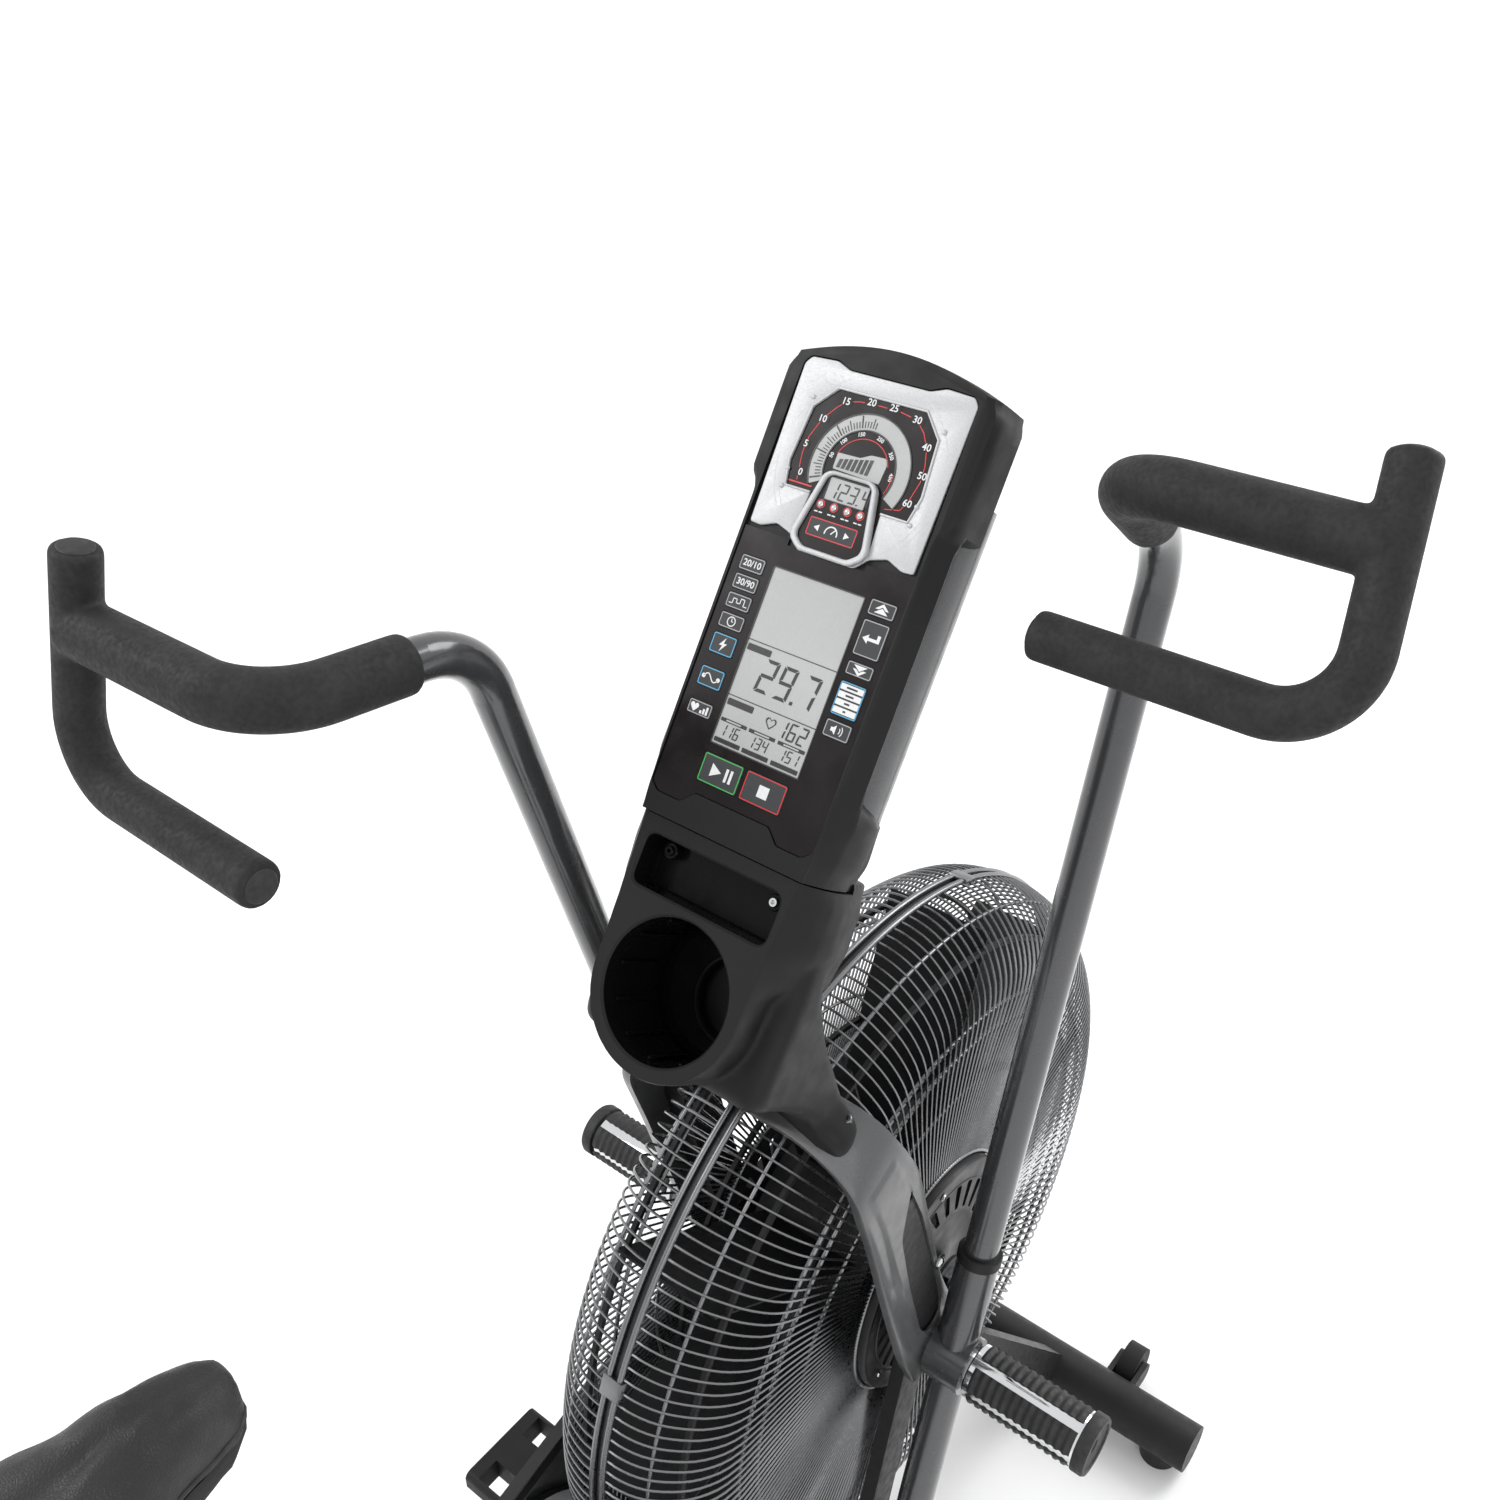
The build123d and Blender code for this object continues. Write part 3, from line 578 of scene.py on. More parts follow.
def well(radius, depth, chamfer, plane, v):
    """Cutter of a round well with a chamfered mouth."""
    middle = plane @ Matrix.Translation((0, v, 0))
    return turned([(radius, -depth), (radius, -chamfer), (radius + chamfer, 0),
                   (radius + chamfer, 0.004)], middle, 96)


def slot_cutter(bounds, depth, chamfer, plane):
    u0, u1, v0, v1 = bounds
    rings = []
    for grow, height in ((-1, -depth), (0, -depth + 2), (0, -chamfer), (chamfer, 0), (chamfer, 4)):
        outline = box_outline(u0 - grow, u1 + grow, v0 - grow, v1 + grow, 8 + grow, 8)
        rings.append([plane @ Vector((u, v, height * MM)) for u, v in outline])
    return skin(rings)


NECK = (   # z, rear x, front x, half width, all mm
    (1046, 128, 137.5, 70), (1030, 119, 134, 77), (1004, 101, 127.5, 79.5), (978, 84, 117.5, 80.5),
    (958, 70, 113.5, 80.5), (943, 59, 115.5, 80.2), (925, 47, 119, 79.8), (907, 40, 123, 79.5),
    (890, 60, 128.5, 79.3), (872, 80, 134.5, 79.3), (856, 94, 139, 79.8), (844, 104, 141.5, 81.5),
    (836, 108, 142.5, 87), (829, 110, 141.5, 94), (823, 111, 139, 98.5), (818, 112.5, 135, 99.5),
    (812, 114, 131, 99.5), (806, 115.5, 129, 99))
FRONT_CORNER, REAR_CORNER = 8, 15   # corner radii of the neck, mm


def oval_ring(x0, x1, half, steps=9):
    """Rounded rectangle in x and y; same number of points whatever its size."""
    front = min(FRONT_CORNER, (x1 - x0) / 2 - 0.5)
    rear = min(REAR_CORNER, (x1 - x0) / 2 - 0.5)
    out = []
    for cx, cy, r, start in ((x1 - front, half - front, front, 0), (x0 + rear, half - rear, rear, 90),
                             (x0 + rear, rear - half, rear, 180), (x1 - front, front - half, front, 270)):
        for k in range(steps + 1):
            a = radians(start + 90 * k / steps)
            out.append((cx + r * cos(a), cy + r * sin(a)))
    return out


def smooth_rows(rows, count):
    """Catmull-Rom rows between given rows of numbers."""
    out = []
    for k in range(count + 1):
        t = k / count * (len(rows) - 1)
        i = min(int(t), len(rows) - 2)
        f = t - i
        p = [rows[max(0, min(len(rows) - 1, i + d))] for d in (-1, 0, 1, 2)]
        out.append([0.5 * (2 * b + (c - a) * f + (2 * a - 5 * b + 4 * c - d) * f * f
                           + (3 * b - a - 3 * c + d) * f ** 3) for a, b, c, d in zip(*p)])
    return out


def slab(low, high, plane):
    """Box cutter between two corners of a plane's own coordinates, mm."""
    (x0, y0, z0), (x1, y1, z1) = low, high
    return skin([[plane @ (Vector((x, y, z)) * MM) for x, y in ((x0, y0), (x1, y0), (x1, y1), (x0, y1))]
                 for z in (z0, z1)])


def lower_housing():
    """Drink holder, tray and neck blended into one moulding, then cut square at its faces."""
    front = loft([lower_ring(h, *w) for h, w in LOWER_SLICES.items()])
    neck = loft([[Vector((x, y, z)) * MM for x, y in oval_ring(x0, x1, half)]
                 for z, x0, x1, half in smooth_rows(NECK, 90)])
    body = remeshed(raw(*merged([front, neck])), 0.0018, 16)
    drum = outward(FAN.x, 0.14, FAN.z, -1)
    cutters = [slab((-120, -200, 0), (120, 60, 30), LOWER), slab((-120, -0.8, -54), (120, 60, 1), LOWER),
               turned([(CAGE_CLEAR_R, 0), (CAGE_CLEAR_R, 0.28)], drum, 240),
               slot_cutter(TRAY, 24, 1.6, LOWER), well(BORE_R, 0.075, 0.0016, LOWER, BORE_V)]
    cut = boolean(body, cutters)
    cut.materials.clear()
    cut.materials.append(HOUSING)
    cut.materials.append(WELL_GLOSS_PAINTED_SHADE)
    # faces deep in the bore and the tray take the darker well material, which paints the shade of these recesses
    inverse, middle = LOWER.inverted(), Vector((0, BORE_V))
    for face in cut.polygons:
        spot = inverse @ face.center
        in_bore = (spot.xy - middle).length < BORE_R + 0.0003
        in_tray = abs(spot.x) < 0.0562 and -0.0487 < spot.y < -0.0123
        face.material_index = int(spot.z < -0.0018 and (in_bore or in_tray) and spot.z > -0.0752)
    return cut


shell = settle("console_upper_shell", console_shell(), HOUSING, "base", 24)
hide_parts("console_shell")
housing = settle("console_lower_housing", lower_housing(), HOUSING, "base", 24)
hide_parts("console_shell", "mast_cover")


def holder_parts():
    """Step and retaining ribs in the drink well."""
    middle = LOWER @ Matrix.Translation((0, BORE_V, 0))
    dimple = middle @ Matrix.Translation((0.0155, 0, 0))
    step = turned([(0.0332, -0.0749), (0.0332, -0.0668), (0.0320, -0.0658), (0.0300, -0.0658),
                   (0.0288, -0.0672), (0.0284, -0.0749), (0.0332, -0.0749)], dimple, 96, False)
    lip = turned([(0.0489, -0.0749), (0.0489, -0.0712), (0.0462, -0.0700), (0.0440, -0.0749),
                  (0.0489, -0.0749)], middle, 96, False)
    rib = rounded([(-1.2, -1.4), (1.2, -0.7), (1.2, 0.7), (-1.2, 1.4)], 0.4, 2)
    ribs = [flat_shape([rib], 0.046, 0.0004, middle @ Matrix.Rotation(radians(angle), 4, "Z")
                       @ Matrix.Translation((0.0478, 0, -0.060))) for angle in range(0, 360, 30)]
    return [(mesh, WELL_GLOSS_PAINTED_SHADE) for mesh in [step, lip] + ribs]


joined("drink_well_ribs", holder_parts(), "base")

sockets = []
for u in (-44, 44):
    foot = LOWER @ Matrix.Translation((u * MM, -0.0215, -0.0238))
    sockets.append((turned([(0.0058, 0), (0.0058, 0.0075), (0.0052, 0.0083), (0.0034, 0.0083),
                            (0.0034, 0.004), (0.0001, 0.004)], foot, 40), WELL_GLOSS_PAINTED_SHADE))
    sockets.append((turned([(0.0033, 0.0042), (0.0033, 0.0098), (0.0028, 0.0103),
                            (0.0015, 0.0103), (0.0015, 0.006), (0.0001, 0.006)], foot, 32),
                    CHROME if u > 0 else WELL_GLOSS_PAINTED_SHADE))
joined("tray_sockets", sockets, "base")

# ---------------------------------------------------------------- bezel, gauge and displays
SEGMENTS = {   # a top, b upper right, c lower right, d bottom, e lower left, f upper left, g middle
    "0": "abcdef", "1": "bc", "2": "abged", "3": "abgcd", "4": "fgbc", "5": "afgcd",
    "6": "afgedc", "7": "abc", "8": "abcdefg", "9": "abcfgd"}


def seven(text, x, y, height, lean=0.12):
    """Outlines of seven segment digits, lower left corner at x, y, in mm."""
    wide = half = height / 2
    bar, gap, slope = height * 0.10, height * 0.03, height * 0.06
    lying = {"a": (height - bar, bar, 0), "d": (0, 0, bar), "g": (half - bar / 2, 0, 0)}
    upright = {"f": (0, half, bar), "e": (0, 0, bar), "b": (wide, half, -bar), "c": (wide, 0, -bar)}
    out = []
    for sign in text:
        shapes, step = [], wide + height * 0.16
        if sign == ".":
            shapes, step = [[(-gap, 0), (bar - gap, 0), (bar - gap, bar), (-gap, bar)]], bar * 1.6
        for key in SEGMENTS.get(sign, ""):
            if key in lying:
                low, cut_low, cut_high = lying[key]
                shapes.append([(gap + cut_low, low), (wide - gap - cut_low, low),
                               (wide - gap - cut_high, low + bar), (gap + cut_high, low + bar)])
            else:
                edge, low, reach = upright[key]
                shapes.append([(edge, low + gap), (edge + reach, low + gap + slope),
                               (edge + reach, low + half - gap - slope), (edge, low + half - gap)])
        out += [in_metres((x + px + lean * py, y + py) for px, py in shape) for shape in shapes]
        x += step
    return out


def arc_band(radius, width, start, end, centre, steps=48):
    """Outline of an annular sector; angles in degrees, sizes in mm."""
    angles = [start + (end - start) * k / steps for k in range(steps + 1)]
    return in_metres([polar(radius - width / 2, a, centre) for a in angles]
                     + [polar(radius + width / 2, a, centre) for a in reversed(angles)])


def band_along(points, width):
    """Outline of a line of even width through points, in mm."""
    left, right, spots = [], [], [Vector(p) for p in points]
    for i, p in enumerate(spots):
        ahead = (spots[min(i + 1, len(spots) - 1)] - spots[max(i - 1, 0)]).normalized()
        side = Vector((-ahead.y, ahead.x)) * width / 2
        left.append(tuple((p + side) * MM))
        right.append(tuple((p - side) * MM))
    return left + right[::-1]


def printed(outlines, height, depth=0.12):
    return flat_shape(outlines, depth * MM, 0, level(FACE, height))


def framed(bounds, width, radius, height, depth=0.3, bevel=0.0):
    """Rectangular ring of a given line width."""
    x0, x1, y0, y1 = bounds
    outer = box_outline(x0, x1, y0, y1, radius)
    inner = box_outline(x0 + width, x1 - width, y0 + width, y1 - width, max(radius - width, 0.3))
    return flat_shape([outer, inner], depth * MM, bevel * MM, level(FACE, height))


def number(text, u, v, size, height, turn=0.0):
    spot = level(FACE, height) @ Matrix.Translation((u * MM, v * MM, 0))
    return lettering(text, size * MM, spot, turn), WHITE


HUB = (1, 254)   # middle of the dial's arcs
# outlines on the face, mm
BEZEL = mirrored([(0, 313), (30, 313), (41, 317), (61, 316), (65, 311), (63.5, 203), (55, 202.5),
                  (43, 207), (30, 203), (22, 195)])
DIAL = mirrored([(0, 300), (33, 300), (47, 285), (50, 249), (47, 233), (27, 233), (29, 205),
                 (21, 195.6), (0, 195.6)])
bezel_parts = [
    (flat_shape([rounded(BEZEL, 2), rounded(DIAL, 1.5)], 0.0024, 0.0007, FACE), SILVER),
    (flat_shape([band_along([(-27, 232.3), (-47.2, 232.3), (-50.8, 249), (-47.7, 285.4), (-33.4, 300.8),
                             (33.4, 300.8), (47.7, 285.4), (50.8, 249), (47.2, 232.3), (27, 232.3)],
                            1.7)], 0.0033, 0.0006, FACE), SILVER)]
for radius, start, end in ((61, 20, 62), (61, 118, 160), (61, -42, -5), (61, 185, 222),
                           (57.5, 200, 236), (57.5, -56, -20)):
    bezel_parts.append((printed([arc_band(radius, 0.5, start, end, HUB)], 2.32, 0.16), SILVER))
for sign in (-1, 1):
    for v in (231, 243, 291):
        spot = level(FACE, 2.3) @ Matrix.Translation((sign * 49.5 * MM, v * MM, 0))
        bezel_parts.append((turned([(0.0016, 0), (0.0016, 0.0006), (0.001, 0.0012),
                                    (0.0001, 0.0014)], spot, 24), SILVER))
bezel = joined("bezel_silver_plate", bezel_parts, "base")
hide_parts("bezel_plate")

# text and middle on the face, mm
NUMERALS = (("0", -39.9, 242.8), ("5", -43.3, 261.2), ("10", -37.8, 279.3), ("15", -25.4, 293.7),
            ("20", -7, 297.1), ("25", 9.8, 297.3), ("30", 28.2, 294), ("40", 41.1, 279.4),
            ("50", 45.1, 261.8), ("60", 42, 243.3))
# text and direction from the hub, degrees
INNER_NUMERALS = (("50", 168), ("100", 140), ("150", 108), ("250", 72), ("350", 38), ("450", 4))
SCALE_LINE = [(-40.5, 237.5), (-41.5, 243), (-43.6, 255), (-43, 266), (-38, 279), (-31, 288), (-25, 293.6),
              (-15, 295.8), (0, 296.4), (15, 296.2), (28, 294), (35.5, 287.6), (41.2, 279), (44.6, 268),
              (45.4, 258), (42, 243.6), (38.5, 238), (28, 236)]
dial_parts = [
    (flat_shape([rounded(DIAL, 1.5)], 0.0021, 0, level(FACE, -0.6)), OVERLAY),
    (printed([arc_band(31.2, 10.4, -27, 207, HUB, 80)], 1.5), DISPLAY),
    (printed([band_along(SCALE_LINE, 0.55)], 1.58, 0.08), RED),
    (printed([band_along([(-46.4, 236), (-28, 236)], 0.9)], 1.58, 0.08), RED),
    (printed([arc_band(20.4, 0.5, 20, 160, HUB), arc_band(24.4, 0.5, -22, 8, HUB)], 1.62), RED),
    (printed([rounded([(-18, 251), (18, 249.5), (19, 262), (17, 266), (6, 265.5), (-1, 262), (-18, 261.5)],
                      1)], 1.5), DISPLAY),
]
for text, u, v in NUMERALS:
    dial_parts.append((printed([box_outline(u - 2.1 * len(text) - 0.8, u + 2.1 * len(text) + 0.8,
                                            v - 2.6, v + 2.6, 0.3)], 1.66, 0.04), OVERLAY))
    dial_parts.append(number(text, u, v, 6.4, 1.74))
for text, turn in INNER_NUMERALS:
    a = radians(turn)
    dial_parts.append(number(text, HUB[0] + 23.4 * cos(a), HUB[1] + 23.4 * sin(a), 3.6, 1.64, a - pi / 2))
ticks = []
for k in range(30):
    a = radians(201 - 3.9 * k)
    long = 8 if k % 8 == 0 else 6.4 if k % 8 == 4 else 4.2
    w = 1.0 if k % 8 == 0 else 0.65
    across = Vector((-sin(a), cos(a))) * w / 2
    ends = [Vector((HUB[0] + r * cos(a), HUB[1] + r * sin(a))) for r in (27.6, 27.6 + long)]
    ticks.append([tuple(p * MM) for p in (ends[0] + across, ends[1] + across,
                                          ends[1] - across, ends[0] - across)])
dial_parts.append((printed(ticks, 1.64, 0.14), PRINT_BLACK))
bars = [[((-16 + 3.6 * k) * MM, 0.2524), ((-13.4 + 3.6 * k) * MM, 0.2524),
         ((-12.4 + 3.6 * k) * MM, (258.4 + 0.75 * k) * MM),
         ((-15 + 3.6 * k) * MM, (258 + 0.75 * k) * MM)] for k in range(7)]
dial_parts.append((printed(bars, 1.64, 0.14), PRINT_BLACK))
for radius in (25.9, 36.6):
    dial_parts.append((printed([arc_band(radius, 0.9, -28, 208, HUB, 80)], 1.55, 0.5), PRINT_BLACK))

POD = mirrored([(0, 249.5), (15.5, 249.5), (20.5, 246), (29.4, 206.6), (28.4, 201.4), (20, 194.8),
                (0, 194.8)])
POD_IN = mirrored([(0, 247), (13.6, 247), (17.2, 244.4), (25, 207.4), (24.2, 203.6), (17.6, 198.4),
                   (0, 198.4)])
pod_parts = [
    (flat_shape([rounded(POD, 4), rounded(POD_IN, 3)], 0.0052, 0.0012, level(FACE, 1.0)), SILVER),
    (flat_shape([rounded(POD_IN, 3)], 0.0028, 0, level(FACE, 0.8)), OVERLAY),
    (framed((-15.8, 15.8, 230.2, 246.2), 0.8, 1.6, 3.5, 0.7, 0.2), PRINT_BLACK),
    (printed([box_outline(-15.2, 15.2, 230.8, 245.6, 1.2)], 3.56), DISPLAY),
    (printed(seven("123.4", -13.2, 232.2, 11.2), 3.7), PRINT_BLACK)]
for u in (-15.6, -5.4, 4.9, 14.7):
    pod_parts.append((printed([ring_outline(3.0, 40, (u, 227.2)), ring_outline(2.35, 40, (u, 227.2))],
                              3.6, 0.2), RED))
    lamp = level(FACE, 3.2) @ Matrix.Translation((u * MM, 0.2272, 0))
    pod_parts.append((turned([(0.0021, 0), (0.0021, 0.0012), (0.0013, 0.0019),
                              (0.0001, 0.0022)], lamp, 28), CHROME))
    for k in range(2):
        x, y = u - 3 + k * 3.4, 221.6
        pod_parts.append((printed([box_outline(x, x + 2.6, y, y + 0.8, 0.2)], 3.62), WHITE))
dial = joined("gauge_face_prints", dial_parts, "base", 30, False)
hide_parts("gauge_panel")
pod = joined("gauge_pod", pod_parts, "base", 30, False)

WINDOW = (-34, 38, 58.5, 181)   # of the main screen, mm
SCREEN_DIGITS = (("29.7", -17, 100.5, 22.5), ("162", 10.5, 78.6, 12), ("116", -30, 65.4, 8),
                 ("134", -6.6, 65.4, 8), ("151", 18, 65.4, 8))   # text, left, foot, height
lines = [in_metres([(-33, v), (37, v), (37, v + 0.6), (-33, v + 0.6)]) for v in (130.6, 92.2)]
labels = [box_outline(-32, -13, 124, 128.4, 0.8), box_outline(-32, -11, 86, 90.4, 0.8)]
labels += [box_outline(u0, u1, v0, v1, 0.5) for v0, v1 in ((74.6, 77), (60.6, 63.6))
           for u0, u1 in ((-32, -11), (-9, 12), (14.4, 35.6))]
screen_parts = [(printed(lines, 1.26), PRINT_BLACK)]
screen_parts += [(printed(seven(*row), 1.28), PRINT_BLACK) for row in SCREEN_DIGITS]
screen_parts.append((printed(labels, 1.28), PRINT_BLACK))
# signs, drawn in a square from -1 to 1
HEART = [(0, -1), (0.55, -0.45), (0.98, 0.1), (0.98, 0.5), (0.72, 0.78), (0.36, 0.78), (0.08, 0.56),
         (0, 0.34), (-0.08, 0.56), (-0.36, 0.78), (-0.72, 0.78), (-0.98, 0.5), (-0.98, 0.1),
         (-0.55, -0.45)]
BOLT = [(0.25, 1), (-0.6, -0.15), (-0.08, -0.12), (-0.3, -1), (0.6, 0.2), (0.06, 0.16)]
UP = [(0, 1), (1, -0.1), (0.5, -0.1), (0, 0.42), (-0.5, -0.1), (-1, -0.1)]
UP_LOW = [(0, 0.2), (1, -0.8), (-1, -0.8)]
PLAY = [(-0.7, -0.9), (0.95, 0), (-0.7, 0.9)]
SQUARE = [(-0.8, -0.8), (0.8, -0.8), (0.8, 0.8), (-0.8, 0.8)]
SPEAKER = [(-1, -0.35), (-0.55, -0.35), (0, -0.85), (0, 0.85), (-0.55, 0.35), (-1, 0.35)]
RETURN_ARROW = [(-1, 0), (-0.35, 0.6), (-0.35, 0.2), (0.6, 0.2), (0.6, 0.8), (0.95, 0.8), (0.95, -0.2),
                (-0.35, -0.2), (-0.35, -0.6)]


def sign(points, u, v, size, sy=None):
    return [((u + x * size) * MM, (v + y * (sy or size)) * MM) for x, y in points]


screen_parts.append((printed([sign(HEART, 4.5, 85, 4.2), sign(HEART, 4.5, 85, 3.2)], 1.28), PRINT_BLACK))
for u in (-21.5, 1.5, 25):
    screen_parts.append((printed([box_outline(u - 6, u + 6, 75.3, 76.3, 0.2)], 1.44), DISPLAY))
screen_parts.append((framed(WINDOW, 0.9, 1.4, 1.3, 0.5, 0.15), PRINT_BLACK))
screen = joined("main_screen_segments", screen_parts, "base", 30, False)

# ---------------------------------------------------------------- keys
def key(node, rim, marks):
    """Rounded cap with a coloured border and a sign; keeps to its CAD key's outline."""
    inverse = FACE.inverted()
    spots = [inverse @ v.co for v in NODES[node].data.vertices]
    (x0, x1), (y0, y1), (low, high) = ((min(values) / MM, max(values) / MM) for values in zip(*spots))
    parts = [(flat_shape([box_outline(x0, x1, y0, y1, 1.7)], (high - low) * MM, 0.0005,
                         level(FACE, low)), KEYCAP),
             (framed((x0 + 0.5, x1 - 0.5, y0 + 0.5, y1 - 0.5), 0.62, 1.5, high, 0.1), rim)]
    for mark in marks((x0 + x1) / 2, (y0 + y1) / 2):
        parts.append(mark if isinstance(mark, tuple) else (printed(mark, high + 0.02, 0.1), WHITE))
    made = joined(node + "_cap", parts, node, 30, False)
    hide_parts(node)


def digits(text):
    return lambda u, v: [number(text, u, v, 6.3, 2.14)]


def clock(u, v):
    return [[ring_outline(3.4, 40, (u, v)), ring_outline(2.7, 40, (u, v))],
            [band_along([(u, v), (u, v + 2.1)], 0.6), band_along([(u, v), (u + 1.5, v)], 0.6)]]


def wave(u, v):
    steps = [(-7, -2), (-4.5, -2), (-4.5, 1.5), (-1.5, 1.5), (-1.5, -1), (1.5, -1), (1.5, 2.4),
             (4.5, 2.4), (4.5, -2), (7, -2)]
    return [[box_outline(u + x0 - 0.3, u + x1 + 0.3, v + min(y0, y1) - 0.3, v + max(y0, y1) + 0.3, 0.1)]
            for (x0, y0), (x1, y1) in zip(steps, steps[1:])]


def route(u, v):
    line = [(u - 6 + 12 * t / 16, v + 2.4 * sin(t / 16 * 2 * pi)) for t in range(17)]
    return [[band_along(line, 0.8)], [ring_outline(1.5, 24, end) for end in (line[0], line[-1])]]


def list_rows(u, v):
    rows = [box_outline(u - 8.4, u + 8.4, v + 5.6 - 5 * k, v + 9.4 - 5 * k, 0.5) for k in range(4)]
    return [rows] + [(printed([box_outline(u - 4 + k, u + 4 - k, v + 6.9 - 5 * k, v + 8.1 - 5 * k, 0.2)],
                              2.24, 0.1), PRINT_BLACK) for k in range(4)]


def sound(u, v):
    return [[sign(SPEAKER, u - 1.2, v, 3.6)],
            [arc_band(r, 0.6, -42, 42, (u - 0.6, v), 12) for r in (2.6, 4.4)]]


def heart_bars(u, v):
    return [[sign(HEART, u - 4.4, v + 0.2, 3.3)],
            [box_outline(u + 0.5 + 2.4 * k, u + 2.1 + 2.4 * k, v - 3, v - 1 + 1.7 * k, 0.2)
             for k in range(3)]]


def shape(points, size, sy=None):
    return lambda u, v: [[sign(points, u, v, size, sy)]]


def arrows(way):
    return lambda u, v: [[[(x, v * MM + (y - v * MM) * way) for x, y in sign(points, u, v, 5, 3.6)]
                          for points in (UP, UP_LOW)]]


def go(u, v):
    return [[sign(PLAY, u - 4, v, 5)]
            + [box_outline(u + x, u + x + 2, v - 4.5, v + 4.5, 0.3) for x in (4, 7.6)]]


def rate(u, v):
    return [[arc_band(4.6, 0.9, -10, 190, (u, v - 1.6), 30)],
            [band_along([(u, v - 1.6), (u + 2.6, v + 1.6)], 0.8)],
            [sign([(-0.7, -0.9), (0.9, 0), (-0.7, 0.9)], u + 11.5, v, 2.4),
             sign([(0.7, -0.9), (0.7, 0.9), (-0.9, 0)], u - 11.5, v, 2.4)]]


# each key's rim and its marks: outlines printed in white, or a mesh with its own material
KEY_LOOKS = {
    "key_interval_short": (RIM_GREY, digits("20/10")),
    "key_interval_long": (RIM_GREY, digits("30/90")),
    "key_interval_custom": (RIM_GREY, wave),
    "key_time_target": (RIM_GREY, clock),
    "key_energy_target": (BLUE, shape(BOLT, 5)),
    "key_distance_target": (BLUE, route),
    "key_heart_zones": (RIM_GREY, heart_bars),
    "key_up": (RIM_GREY, arrows(1)),
    "key_enter": (RIM_GREY, shape(RETURN_ARROW, 6.4, 5)),
    "key_down": (RIM_GREY, arrows(-1)),
    "key_units_select": (BLUE, list_rows),
    "key_sound": (RIM_GREY, sound),
    "key_start": (GREEN, go),
    "key_stop": (RED, shape(SQUARE, 5)),
    "key_rate_select": (RED, rate),
}
for node, (rim, marks) in KEY_LOOKS.items():
    key(node, rim, marks)

# ---------------------------------------------------------------- neck screws
screws = []
for side in (-1, 1):
    head = Matrix.Translation((0.1335, side * 0.0885, 0.8335)) @ Matrix.Rotation(radians(-24), 4, "Y")
    screws.append((turned([(0.0036, -0.004), (0.0036, 0.0002), (0.0029, 0.0011), (0.0016, 0.0012),
                           (0.0014, 0.0002), (0.0001, 0.0002)], head, 32), STEEL))
joined("neck_screws", screws, "base")

# ---------------------------------------------------------------- yoke
YOKE_ROWS = (   # half width y, rear x, rear z, front x, front z, lean of the sheet in degrees
    (0, 97, 832, 148, 838, 0), (35, 97, 831, 148, 837, 0), (62, 104, 820, 149, 834, 3),
    (86, 110, 803, 152, 829, 12), (103, 112.5, 789, 157, 819, 30), (114, 113.5, 776, 164, 803, 58),
    (119.5, 117, 756, 175, 781, 80), (121, 127, 725, 190, 750, 90), (121, 137, 693, 205, 703, 90),
    (121, 152, 641, 225, 636, 90), (121, 173, 570, 244, 573, 90), (121, 195, 500, 274, 500, 90),
    (121, 208, 468, 277, 470, 90), (121, 214, 452, 268, 452, 90))
YOKE_HALF = 0.121   # m
# opening in each side of the yoke, x and z, mm
YOKE_WINDOW = [(177, 742), (169, 690), (189, 610), (214, 528), (226, 512), (240, 512), (250, 528),
               (226, 610), (200, 690)]


def yoke_mesh():
    """Pressed sheet that arches over the cage, with rolled edges and a pressed swage."""
    half = smooth_rows(YOKE_ROWS, 96)
    rows = [[-r[0], *r[1:5], -r[5]] for r in reversed(half[1:])] + half
    # across the sheet: share of the width, distance out of the sheet in mm
    lips = ((0.0, -9.0), (0.0, -5.0), (0.0, -2.2), (0.012, -0.7), (0.05, 0.0))
    across = list(lips) + [(0.05 + 0.9 * k / 18, 0.0) for k in range(1, 18)] + \
        [(1 - w, n) for w, n in reversed(lips)]
    verts, faces, width = [], [], len(across)
    for y, rx, rz, fx, fz, lean in rows:
        rear, front = Vector((rx, y, rz)), Vector((fx, y, fz))
        crown = max(0.0, cos(radians(lean)))
        radial = Vector(((rx + fx) / 2 - FAN.x / MM, 0, (rz + fz) / 2 - FAN.z / MM)).normalized()
        out = radial * crown + Vector((0, sin(radians(lean)), 0))
        for w, sink in across:
            swage = 1.6 * crown * sin(pi * w) + (1.3 if 0.2 < w < 0.8 and abs(lean) > 70 else 0)
            verts.append((rear.lerp(front, w) + out * (sink + swage - 1)) * MM)
    for k in range(len(rows) - 1):
        for i in range(width - 1):
            a = k * width + i
            faces.append((a, a + 1, a + width + 1, a + width))
    solid = modified(raw(verts, faces), ("SOLIDIFY", {"thickness": 0.0022, "offset": -1}))
    cutters = []
    for side in (-1, 1):
        place = outward(0, side * YOKE_HALF + 0.02, 0, -1)
        cutters.append(flat_shape([rounded(YOKE_WINDOW, 9)], 0.04, 0, place))
    return boolean(solid, cutters)


yoke = settle("yoke_pressing", yoke_mesh(), GRAPHITE, "base", 40)
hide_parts("yoke")


def bolt(seat, size, length):
    """Button head bolt with a washer; the seat's z axis points out of the part."""
    washer = turned([(size * 1.5, 0), (size * 1.5, 0.0009), (size * 0.4, 0.001)], seat, 40)
    head = turned([(size, 0.0008), (size, length * 0.5), (size * 0.8, length * 0.85),
                   (size * 0.5, length), (size * 0.48, length * 0.4), (0.0001, length * 0.4)], seat, 40)
    return [(washer, STEEL), (head, CHROME)]


